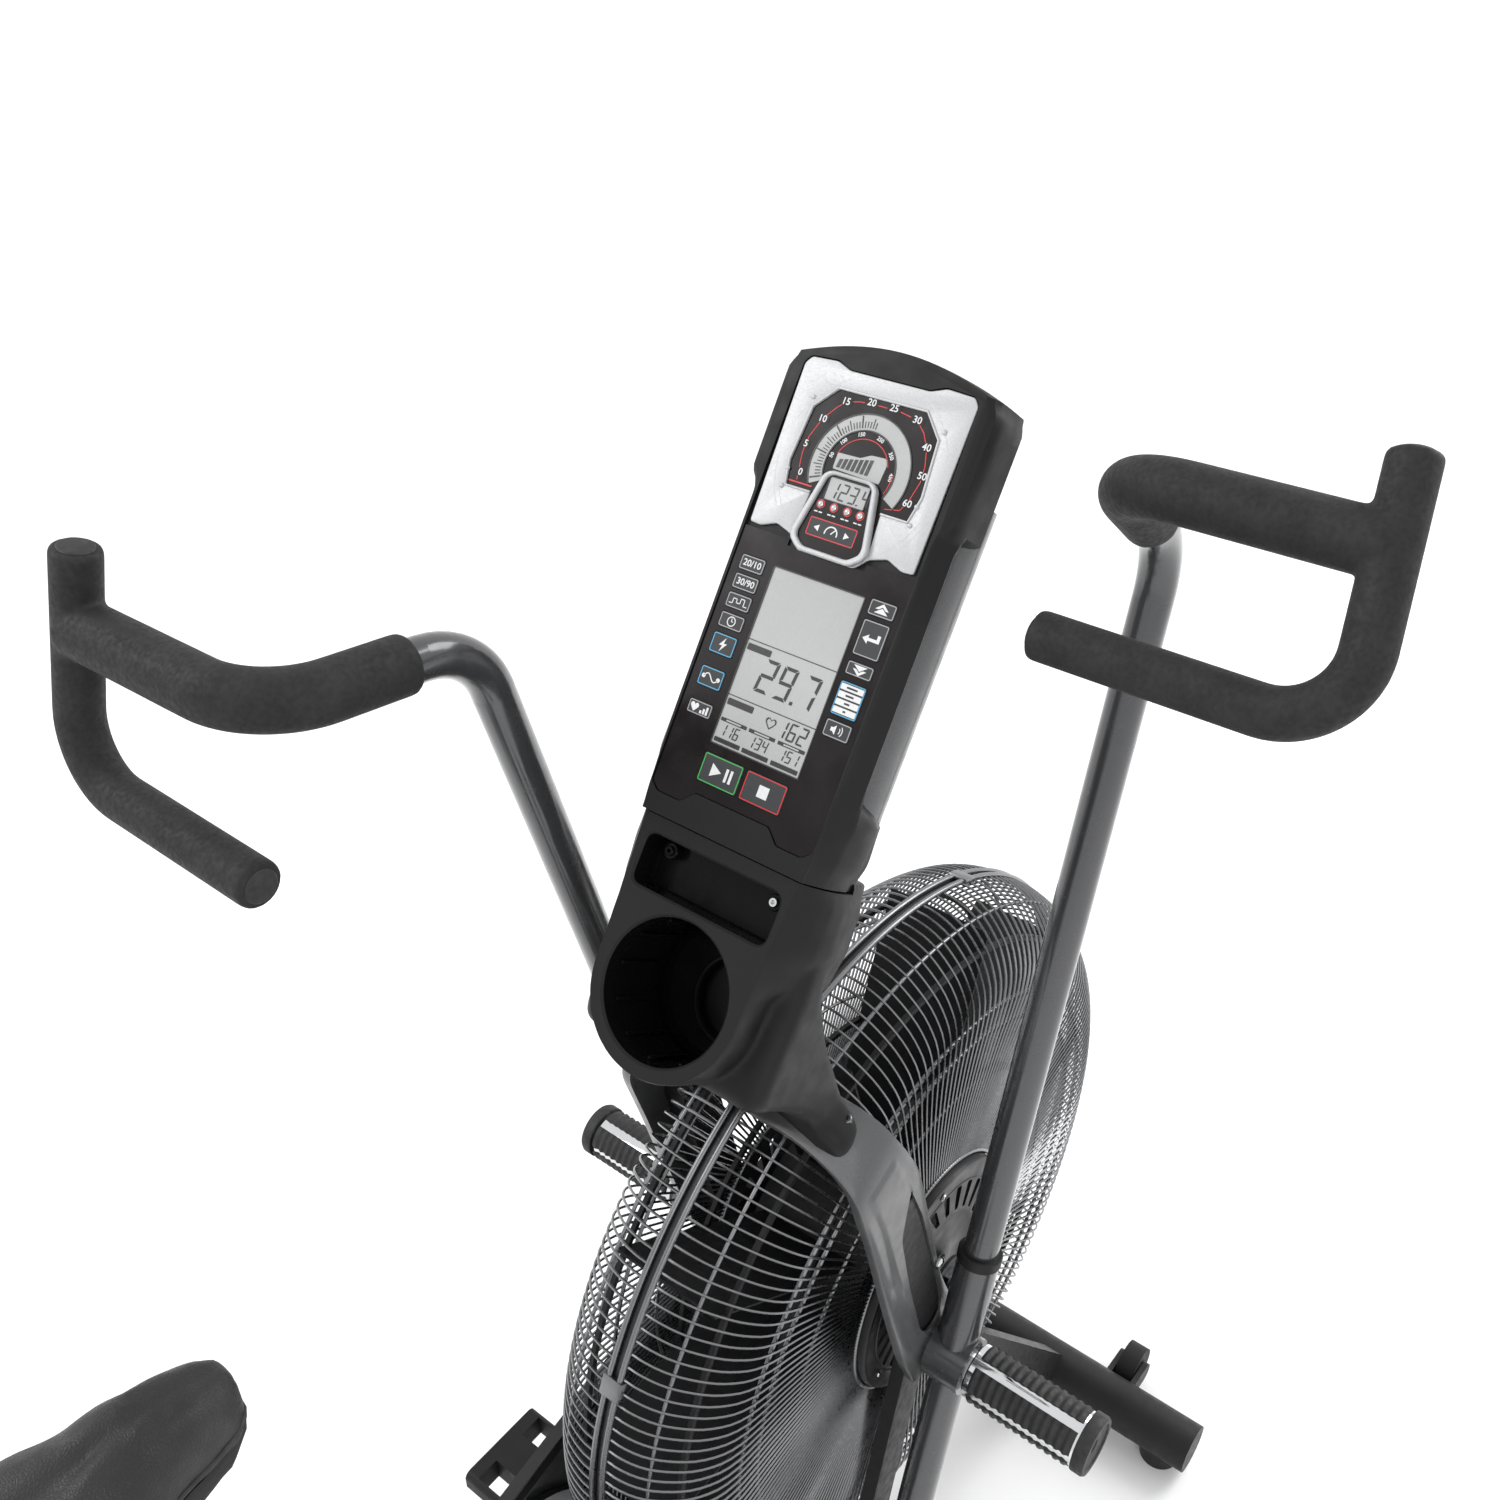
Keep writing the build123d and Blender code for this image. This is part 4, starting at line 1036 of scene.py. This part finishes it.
bolts = []
for side in (-1, 1):
    for x, z in ((0.236, 0.596), (0.262, 0.498)):
        bolts += bolt(outward(x, side * 0.1205, z, side), 0.0048, 0.0035)
HUB_SCREW_R, HUB_SCREW_Y = 0.102, -0.0859
for k in range(6):
    a = radians(60 * k + 30)
    seat = outward(FAN.x + HUB_SCREW_R * cos(a), HUB_SCREW_Y, FAN.z + HUB_SCREW_R * sin(a), -1)
    bolts += bolt(seat, 0.0027, 0.0021)
beam_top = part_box("fasteners")[0].z
for x in (-0.56, 0.5):
    for y in (-0.014, 0.014):
        bolts += bolt(Matrix.Translation((x, y, beam_top)), 0.0062, 0.005)
bolts = joined("bolts", bolts, "base")
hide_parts("fasteners")

# ---------------------------------------------------------------- wire cage
WIRES = 200
# radius and distance from the middle plane along one wire, mm
CAGE = ((356.5, 5), (356.3, 11), (355.8, 17.5), (353, 29), (348.5, 39.5), (342, 49), (334, 58),
        (325, 66), (313, 73), (300, 78), (283, 80.5), (264, 80.7), (245, 80), (203, 79), (160, 78.4),
        (117.5, 78))


def cage_half(side):
    parts = []
    profile = smooth_rows(CAGE, 26)
    for k in range(WIRES):
        a = 2 * pi * (k + 0.5) / WIRES
        path = [(FAN.x + r * MM * cos(a), side * y * MM, FAN.z + r * MM * sin(a)) for r, y in profile]
        parts.append(tube(path, 0.00115, 5))
    # hoops: radius, distance from the middle plane, wire radius
    for ring_r, y, wire in ((357.5, 5, 2.6), (277, 77.6, 1.9), (253, 77.2, 1.9), (200, 76.6, 1.6),
                            (346, 41, 1.6), (117.5, 78, 2.2)):
        parts.append(hoop(FAN, ring_r * MM, wire * MM, side * y * MM, 220, 8))
    return merged(parts)


for word, side in (("right", -1), ("left", 1)):
    guard = settle(f"cage_wires_{word}", raw(*cage_half(side)), WIRE_STEEL, "base", 60)
    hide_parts(f"fan_cage_{word}")

seam_parts = []
CLIP_R = 0.357
for k in range(8):
    a = radians(22.5 + 45 * k)
    spot = (Matrix.Translation((FAN.x + CLIP_R * cos(a), 0, FAN.z + CLIP_R * sin(a)))
            @ Matrix.Rotation(-a, 4, "Y"))
    block = skin([[spot @ Vector((x, y, z)) for x, z in ((-0.0035, -0.009), (0.0035, -0.009),
                                                         (0.0035, 0.009), (-0.0035, 0.009))]
                  for y in (-0.0095, 0.0095)])
    seam_parts.append((modified(block, ("BEVEL", {"width": 0.0012, "segments": 2, "limit_method": "ANGLE",
                                                  "angle_limit": radians(30)})), STEEL))
BAND_R, BAND_OUT_R, BAND_WIDTH = 0.3535, 0.3555, 0.0068
drum = outward(FAN.x, 0.0034, FAN.z, -1)
band = turned([(BAND_R, 0), (BAND_OUT_R, 0), (BAND_OUT_R, BAND_WIDTH), (BAND_R, BAND_WIDTH), (BAND_R, 0)],
              drum, 240, False)
joined("cage_seam_clips", seam_parts, "base")
joined("cage_seam_band", [(band, PRINT_BLACK)], "base")

# ---------------------------------------------------------------- hub covers
def hub_cover(side, top, hole):
    """Vented cover with a rolled rim, a ring of slots and a stepped middle; top is its outer face."""
    turn = outward(FAN.x, 0, FAN.z, side)
    profile = [(hole, top - 0.0035), (hole, top + 0.0004), (hole + 0.016, top + 0.0004),
               (hole + 0.0185, top - 0.0012), (0.060, top - 0.0012), (0.0625, top), (0.0945, top),
               (0.0952, top - 0.0009), (0.0964, top - 0.0009), (0.0971, top), (0.1085, top),
               (0.1105, top + 0.0008), (0.1135, top + 0.0004), (0.1148, top - 0.0014),
               (0.115, 0.0775), (0.1125, 0.0775), (0.1120, top - 0.0035), (hole, top - 0.0035)]
    cover = turned(profile, turn, 128, False)
    slots = []
    for k in range(26):
        a = 2 * pi * k / 26
        along, across = Vector((cos(a), sin(a))), Vector((-sin(a), cos(a)))
        slots.append([tuple(along * r + across * (w + (r - 0.08) * 0.3)) for r, w in
                      ((0.0655, -0.0022), (0.0675, -0.0032), (0.0905, -0.0050), (0.0930, -0.0036),
                       (0.0930, 0.0036), (0.0905, 0.0050), (0.0675, 0.0032), (0.0655, 0.0022))])
    cutter = flat_shape(slots, 0.02, 0, turn @ Matrix.Translation((0, 0, top - 0.012)))
    return boolean(cover, [cutter])


covers = joined("hub_cover_pair", [(hub_cover(-1, 0.086, 0.0095), SHROUD),
                                   (hub_cover(1, 0.0826, 0.040), SHROUD)], "base", 40)
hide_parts("hub_covers")

# ---------------------------------------------------------------- foot pegs
def foot_pegs():
    low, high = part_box("foot_pegs")
    parts = []
    for side in (-1, 1):
        turn = outward(PIVOT.x, 0, PIVOT.z, side)
        reach, start = abs(high.y), 0.163
        barrel = [(0.012, 0.096), (0.012, 0.158), (0.0145, 0.160), (0.0145, start), (0.0225, start),
                  (0.0242, start + 0.0015), (0.0242, reach - 0.009), (0.0225, reach - 0.006),
                  (0.0001, reach - 0.006)]
        parts.append((turned(barrel, turn, 72), CHROME))
        rim = [(0.0200, reach - 0.0115), (0.0262, reach - 0.0115), (0.0265, reach - 0.0105),
               (0.0265, reach - 0.0022), (0.0252, reach), (0.0215, reach), (0.0205, reach - 0.0015),
               (0.0060, reach - 0.0024), (0.0055, reach - 0.0034), (0.0001, reach - 0.0034)]
        parts.append((turned(rim, turn, 72), RUBBER))
        for k in range(5):
            a0, rows = 2 * pi * k / 5, []
            for j in range(53):   # ribs of two rows each, along one pad of the tread
                h = start + 0.006 + (reach - 0.014 - start - 0.006) * j / 52
                r = 0.0263 if (j % 4) in (1, 2) else 0.0249
                ring = [(0.0240, -0.46), (r, -0.44)] + [(r, -0.44 + 0.88 * t / 6) for t in range(1, 6)]
                ring += [(r, 0.44), (0.0240, 0.46), (0.0236, 0.3), (0.0236, -0.3)]
                rows.append([turn @ Vector((rr * cos(a0 + b), rr * sin(a0 + b), h)) for rr, b in ring])
            parts.append((skin(rows), RUBBER))
    return parts


pegs = joined("foot_peg_barrels", foot_pegs(), "base", 40)
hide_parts("foot_pegs")

# ---------------------------------------------------------------- handlebar foam
# bends of one bar seen from the arm's pivot before the arm's swing, mm
ELBOW = Vector((0, 141.4, 736.6))
CORNER = Vector((-140.8, 148.1, 795.9))
JUNCTION = Vector((-145.6, 314.8, 798.4))
DROP = Vector((-189.6, 331.8, 702.9))
GRIP_END = Vector((-190.7, 144.1, 702.6))
SWING = {-1: 13.9, 1: -16.2}   # degrees at rest; -1 is the rider's right
FOAM_START = 50   # foam begins this far from the elbow, mm
STUB = JUNCTION + (JUNCTION - DROP).normalized() * 54


def filleted(points, radii, steps=14):
    """Points along straight runs joined by arcs."""
    out = [points[0]]
    for i in range(1, len(points) - 1):
        p = points[i]
        u, w = (points[i - 1] - p).normalized(), (points[i + 1] - p).normalized()
        half = u.angle(w) / 2
        reach = radii[i - 1] / tan(half)
        middle = p + (u + w).normalized() * (radii[i - 1] / sin(half))
        a, b = p + u * reach - middle, p + w * reach - middle
        total = a.angle(b)
        for k in range(steps + 1):
            t = k / steps
            out.append(middle + (a * sin((1 - t) * total) + b * sin(t * total)) / sin(total))
    out.append(points[-1])
    return out


def evenly(path, gap):
    """Extra points so that no run is longer than the gap."""
    out = [path[0]]
    for a, b in zip(path, path[1:]):
        count = max(1, int((b - a).length / gap))
        out += [a.lerp(b, (k + 1) / count) for k in range(count)]
    return out


def rounded_bar(path, radius, cap):
    """Bar with domed ends."""
    path = evenly(path, 4)
    start, end = (path[1] - path[0]).normalized(), (path[-1] - path[-2]).normalized()
    steps = 6
    lead = [path[0] + start * cap * (1 - cos(pi / 2 * k / steps)) for k in range(steps)]
    tail = [path[-1] - end * cap * (1 - cos(pi / 2 * k / steps)) for k in reversed(range(steps))]
    body = [p for p in path if (p - path[0]).length > cap and (p - path[-1]).length > cap]
    radii = [radius - cap + cap * sin(pi / 2 * k / steps) for k in range(steps)]
    return tube(lead + body + tail, radii + [radius] * len(body) + radii[::-1], 28)


def to_side(side):
    turn = Matrix.Rotation(radians(SWING[side]), 4, "Y")
    mirror = Matrix.Diagonal((1, side, 1, 1))
    return Matrix.Translation((PIVOT.x, 0, PIVOT.z)) @ turn @ mirror @ Matrix.Scale(MM, 4)


def grip(side):
    thick = filleted([ELBOW + (CORNER - ELBOW).normalized() * FOAM_START, CORNER, JUNCTION], [52])
    thin = filleted([STUB, DROP, GRIP_END], [42])
    verts, faces = merged([rounded_bar(thick, 19.3, 3), rounded_bar(thin, 15.6, 3.2)])
    return remeshed(raw([to_side(side) @ Vector(v) for v in verts], faces), 0.0016, 10)


for word, side in (("right", -1), ("left", 1)):
    made = settle(f"grip_foam_{word}", grip(side), FOAM, f"{word}_handlebar", 80)
    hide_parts(f"{word}_grips")
    place = to_side(side)
    plugs = []
    for end, before in ((STUB, JUNCTION), (GRIP_END, DROP)):
        out = (end - before).normalized()
        turn = out.to_track_quat("Z", "Y").to_matrix().to_4x4()
        cap = turned([(11.2, -6), (11.2, 0.2), (10.4, 0.9), (8, 1.2), (0.1, 1.25)],
                     place @ Matrix.Translation(end) @ turn, 48)
        plugs.append((cap, RUBBER))
    low_end = place @ Matrix.Translation((0, 141.4, 115.7))
    plugs.append((turned([(15.2, -9), (18.6, -9), (19.1, -8), (19.1, 0.5), (18.2, 1.6),
                          (15.2, 1.6)], low_end, 56), NYLON))
    joined(f"bar_plugs_{word}", plugs, f"{word}_handlebar")

# ---------------------------------------------------------------- saddle
SADDLE_LOW, SADDLE_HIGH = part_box("saddle")
SADDLE_PLAN = ((0, 44), (0.05, 78), (0.14, 100), (0.26, 108), (0.38, 99), (0.5, 74), (0.62, 49),
               (0.74, 34), (0.86, 27), (0.95, 22), (1, 12))   # share of the length, half width


def saddle_edge(t):
    """Point of the saddle's edge, t from the tail to the nose."""
    x = SADDLE_LOW.x + 0.003 + (SADDLE_HIGH.x - SADDLE_LOW.x - 0.006) * t
    return x, table_at([p[0] for p in SADDLE_PLAN], [p[1] * MM for p in SADDLE_PLAN], t)


def saddle_pad():
    """Sprung trainer saddle: crowned pad, raised tail, soft channel down the middle."""
    top = SADDLE_HIGH.z
    rings = []
    for k in range(61):
        t = k / 60
        x, half = saddle_edge(t)
        tail = max(0.0, 1 - t / 0.35)
        crown = top - 0.006 - 0.013 * (1 - tail) * sin(pi * min(1, t * 1.1)) - 0.018 * max(0, t - 0.8) / 0.2
        crown -= 0.014 * max(0, 1 - t / 0.06) ** 2
        under = SADDLE_LOW.z + 0.011
        ring = []
        for j in range(48):
            a = 2 * pi * j / 48
            y, up = cos(a), sin(a)
            squeeze = abs(y) ** 0.72 * (1 if y > 0 else -1)
            if up >= 0:
                z = under + (crown - under) * (0.24 + 0.76 * up ** 0.62)
                z -= 0.005 * max(0, 1 - (abs(squeeze) / 0.22) ** 2) * (0.4 + 0.6 * (0.15 < t < 0.85))
            else:
                z = under + (crown - under) * 0.24 * (1 - (-up) ** 0.62)
            ring.append(Vector((x, half * squeeze, z)))
        rings.append(ring)
    return remeshed(skin(rings), 0.0034, 8)


COVER_FRAMES, COVER_LIMIT = 14, 0.004   # frames of the cloth run, largest move in metres


def inflated(mesh):
    """The pad's cover, blown up a little by a cloth simulation and then fixed."""
    pad = scratch(mesh, "pad")
    cloth = pad.modifiers.new("cover", "CLOTH")
    cloth.settings.use_pressure = True
    cloth.settings.uniform_pressure_force = 4
    cloth.settings.effector_weights.gravity = 0
    cloth.settings.tension_stiffness = 25
    cloth.point_cache.frame_start, cloth.point_cache.frame_end = 1, COVER_FRAMES
    for number_of_frame in range(1, COVER_FRAMES + 1):
        bpy.context.scene.frame_set(number_of_frame)
    blown = baked(pad)
    bpy.context.scene.frame_set(1)
    for soft, stiff in zip(blown.vertices, mesh.vertices):
        move = soft.co - stiff.co
        if move.length > COVER_LIMIT:
            move *= COVER_LIMIT / move.length
        spot = stiff.co + move
        spot.z = max(SADDLE_LOW.z + 0.002, min(SADDLE_HIGH.z - 0.001, spot.z))
        soft.co = spot
    drop(pad)
    return blown


pad_mesh = saddle_pad()
pad_mesh = inflated(pad_mesh)
pad = settle("saddle_pad", pad_mesh, VINYL, "seat_slider", 80)
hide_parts("saddle")


def saddle_seam():
    """Piped seam round the pad's edge, through points of the pad itself."""
    shell_points = [v.co for v in pad.data.vertices if abs(v.co.z - (SADDLE_LOW.z + 0.022)) < 0.003]
    edge = [saddle_edge(k / 60) for k in range(61)]
    outline = edge + [(edge[-1][0], edge[-1][1] * k / 3) for k in (2, 1, 0, -1, -2)]
    outline += [(x, -y) for x, y in reversed(edge)] + [(edge[0][0], edge[0][1] * k / 8) for k in range(-7, 8)]
    seam = []
    for spot in outline:
        best = min(shell_points, key=lambda p: (p.xy - Vector(spot)).length)
        if not seam or (best - seam[-1]).length > 0.004:
            seam.append(best)
    if (seam[-1] - seam[0]).length < 0.004:
        seam.pop()
    seam = seam + [seam[0]]
    smooth = [(seam[i - 1] + seam[i] * 2 + seam[(i + 1) % (len(seam) - 1)]) / 4 for i in range(len(seam) - 1)]
    return raw(*tube(smooth + [smooth[0]], 0.0017, 8))


piping = joined("saddle_piping", [(saddle_seam(), RUBBER)], "seat_slider", 60)

# tray under the saddle: height over its foot, share of the saddle's outline
tray_rings = []
tray_middle = (SADDLE_LOW.x + SADDLE_HIGH.x) / 2
for z, share in ((0.0006, 0.72), (0.0006, 0.84), (0.007, 0.91), (0.0145, 0.935), (0.0175, 0.90)):
    edge = [saddle_edge(k / 40) for k in range(41)]
    half_ring = [((x - tray_middle) * (1 - (1 - share) * 0.35), y * share) for x, y in edge]
    tray_rings.append([Vector((tray_middle + x, y, SADDLE_LOW.z + z))
                       for x, y in half_ring + [(x, -y) for x, y in reversed(half_ring)]])
settle("saddle_tray", skin(tray_rings), NYLON, "seat_slider", 45)

# ---------------------------------------------------------------- finishes of the CAD nodes kept
FINISHES = {}
for finish, names in (
        (FRAME_BLACK, "main_frame rear_stabilizer front_stabilizer seat_slider right_rod left_rod"),
        (GRAPHITE, "mast_tube"), (OVERLAY, "key_overlay"), (DISPLAY, "main_display"),
        (BOARD, "circuit_board"), (SHROUD, "left_shroud right_shroud"), (ALLOY, "fan_hub crank_pulley"),
        (RUBBER, "drive_belt right_leveller left_leveller"), (FAN_BLACK, "fan_blades"),
        (STEEL, "fan_axle bearings crank_axle seat_post right_crank_arm left_crank_arm"),
        (CHROME, "seat_pin"), (TUBE_PAINT, "right_arm left_arm"),
        (NYLON, "slider_knob right_pedal left_pedal right_transport_wheel left_transport_wheel")):
    FINISHES.update(dict.fromkeys(names.split(), finish))
for name, node in NODES.items():
    finish = FINISHES.get(name, HOUSING)
    for slot in node.material_slots:
        slot.material = finish
    if not node.material_slots:
        node.data.materials.append(finish)

# ---------------------------------------------------------------- floor, light and camera
floor_mesh = bpy.data.meshes.new("floor")
floor_mesh.from_pydata([(-30, -30, 0), (30, -30, 0), (30, 30, 0), (-30, 30, 0)], [], [(0, 1, 2, 3)])
floor = bpy.data.objects.new("floor", floor_mesh)
bpy.context.scene.collection.objects.link(floor)
floor_look = Nodes("studio floor", (0.93, 0.93, 0.93), 0.6)
floor_look.blend(floor_look.noise(3, 2), (0.92, 0.92, 0.92), (0.94, 0.94, 0.94))
floor_mesh.materials.append(floor_look.material)

world = bpy.data.worlds.new("studio")
bpy.context.scene.world = world
world.use_nodes = True
world.node_tree.nodes["Background"].inputs["Color"].default_value = (1, 1, 1, 1)
world.node_tree.nodes["Background"].inputs["Strength"].default_value = 1.1


def softbox(name, spot, aim, width, height, watts):
    lamp = bpy.data.lights.new(name, "AREA")
    lamp.shape, lamp.size, lamp.size_y, lamp.energy = "RECTANGLE", width, height, watts
    holder = bpy.data.objects.new(name, lamp)
    holder.location = spot
    holder.rotation_euler = (Vector(aim) - Vector(spot)).to_track_quat("-Z", "Y").to_euler()
    bpy.context.scene.collection.objects.link(holder)


softbox("key_light", (-1.6, 2.6, 3.4), (0.1, 0, 0.9), 2.2, 2.2, 70)
softbox("fill_light", (-2.2, -3.0, 2.2), (0.1, 0, 0.8), 2.6, 2.0, 18)
softbox("rim_light", (3.0, -1.2, 2.6), (0.2, 0, 0.8), 1.6, 2.6, 70)

camera_data = bpy.data.cameras.new("camera")
camera_data.lens, camera_data.sensor_width = 36.06, 36
camera = bpy.data.objects.new("camera", camera_data)
camera.location = (-0.4954, -0.4952, 1.6468)
camera.rotation_euler = (radians(90 - 33.7), 0, radians(-51.8))
bpy.context.scene.collection.objects.link(camera)
bpy.context.scene.camera = camera
bpy.context.scene.view_settings.view_transform = "Standard"
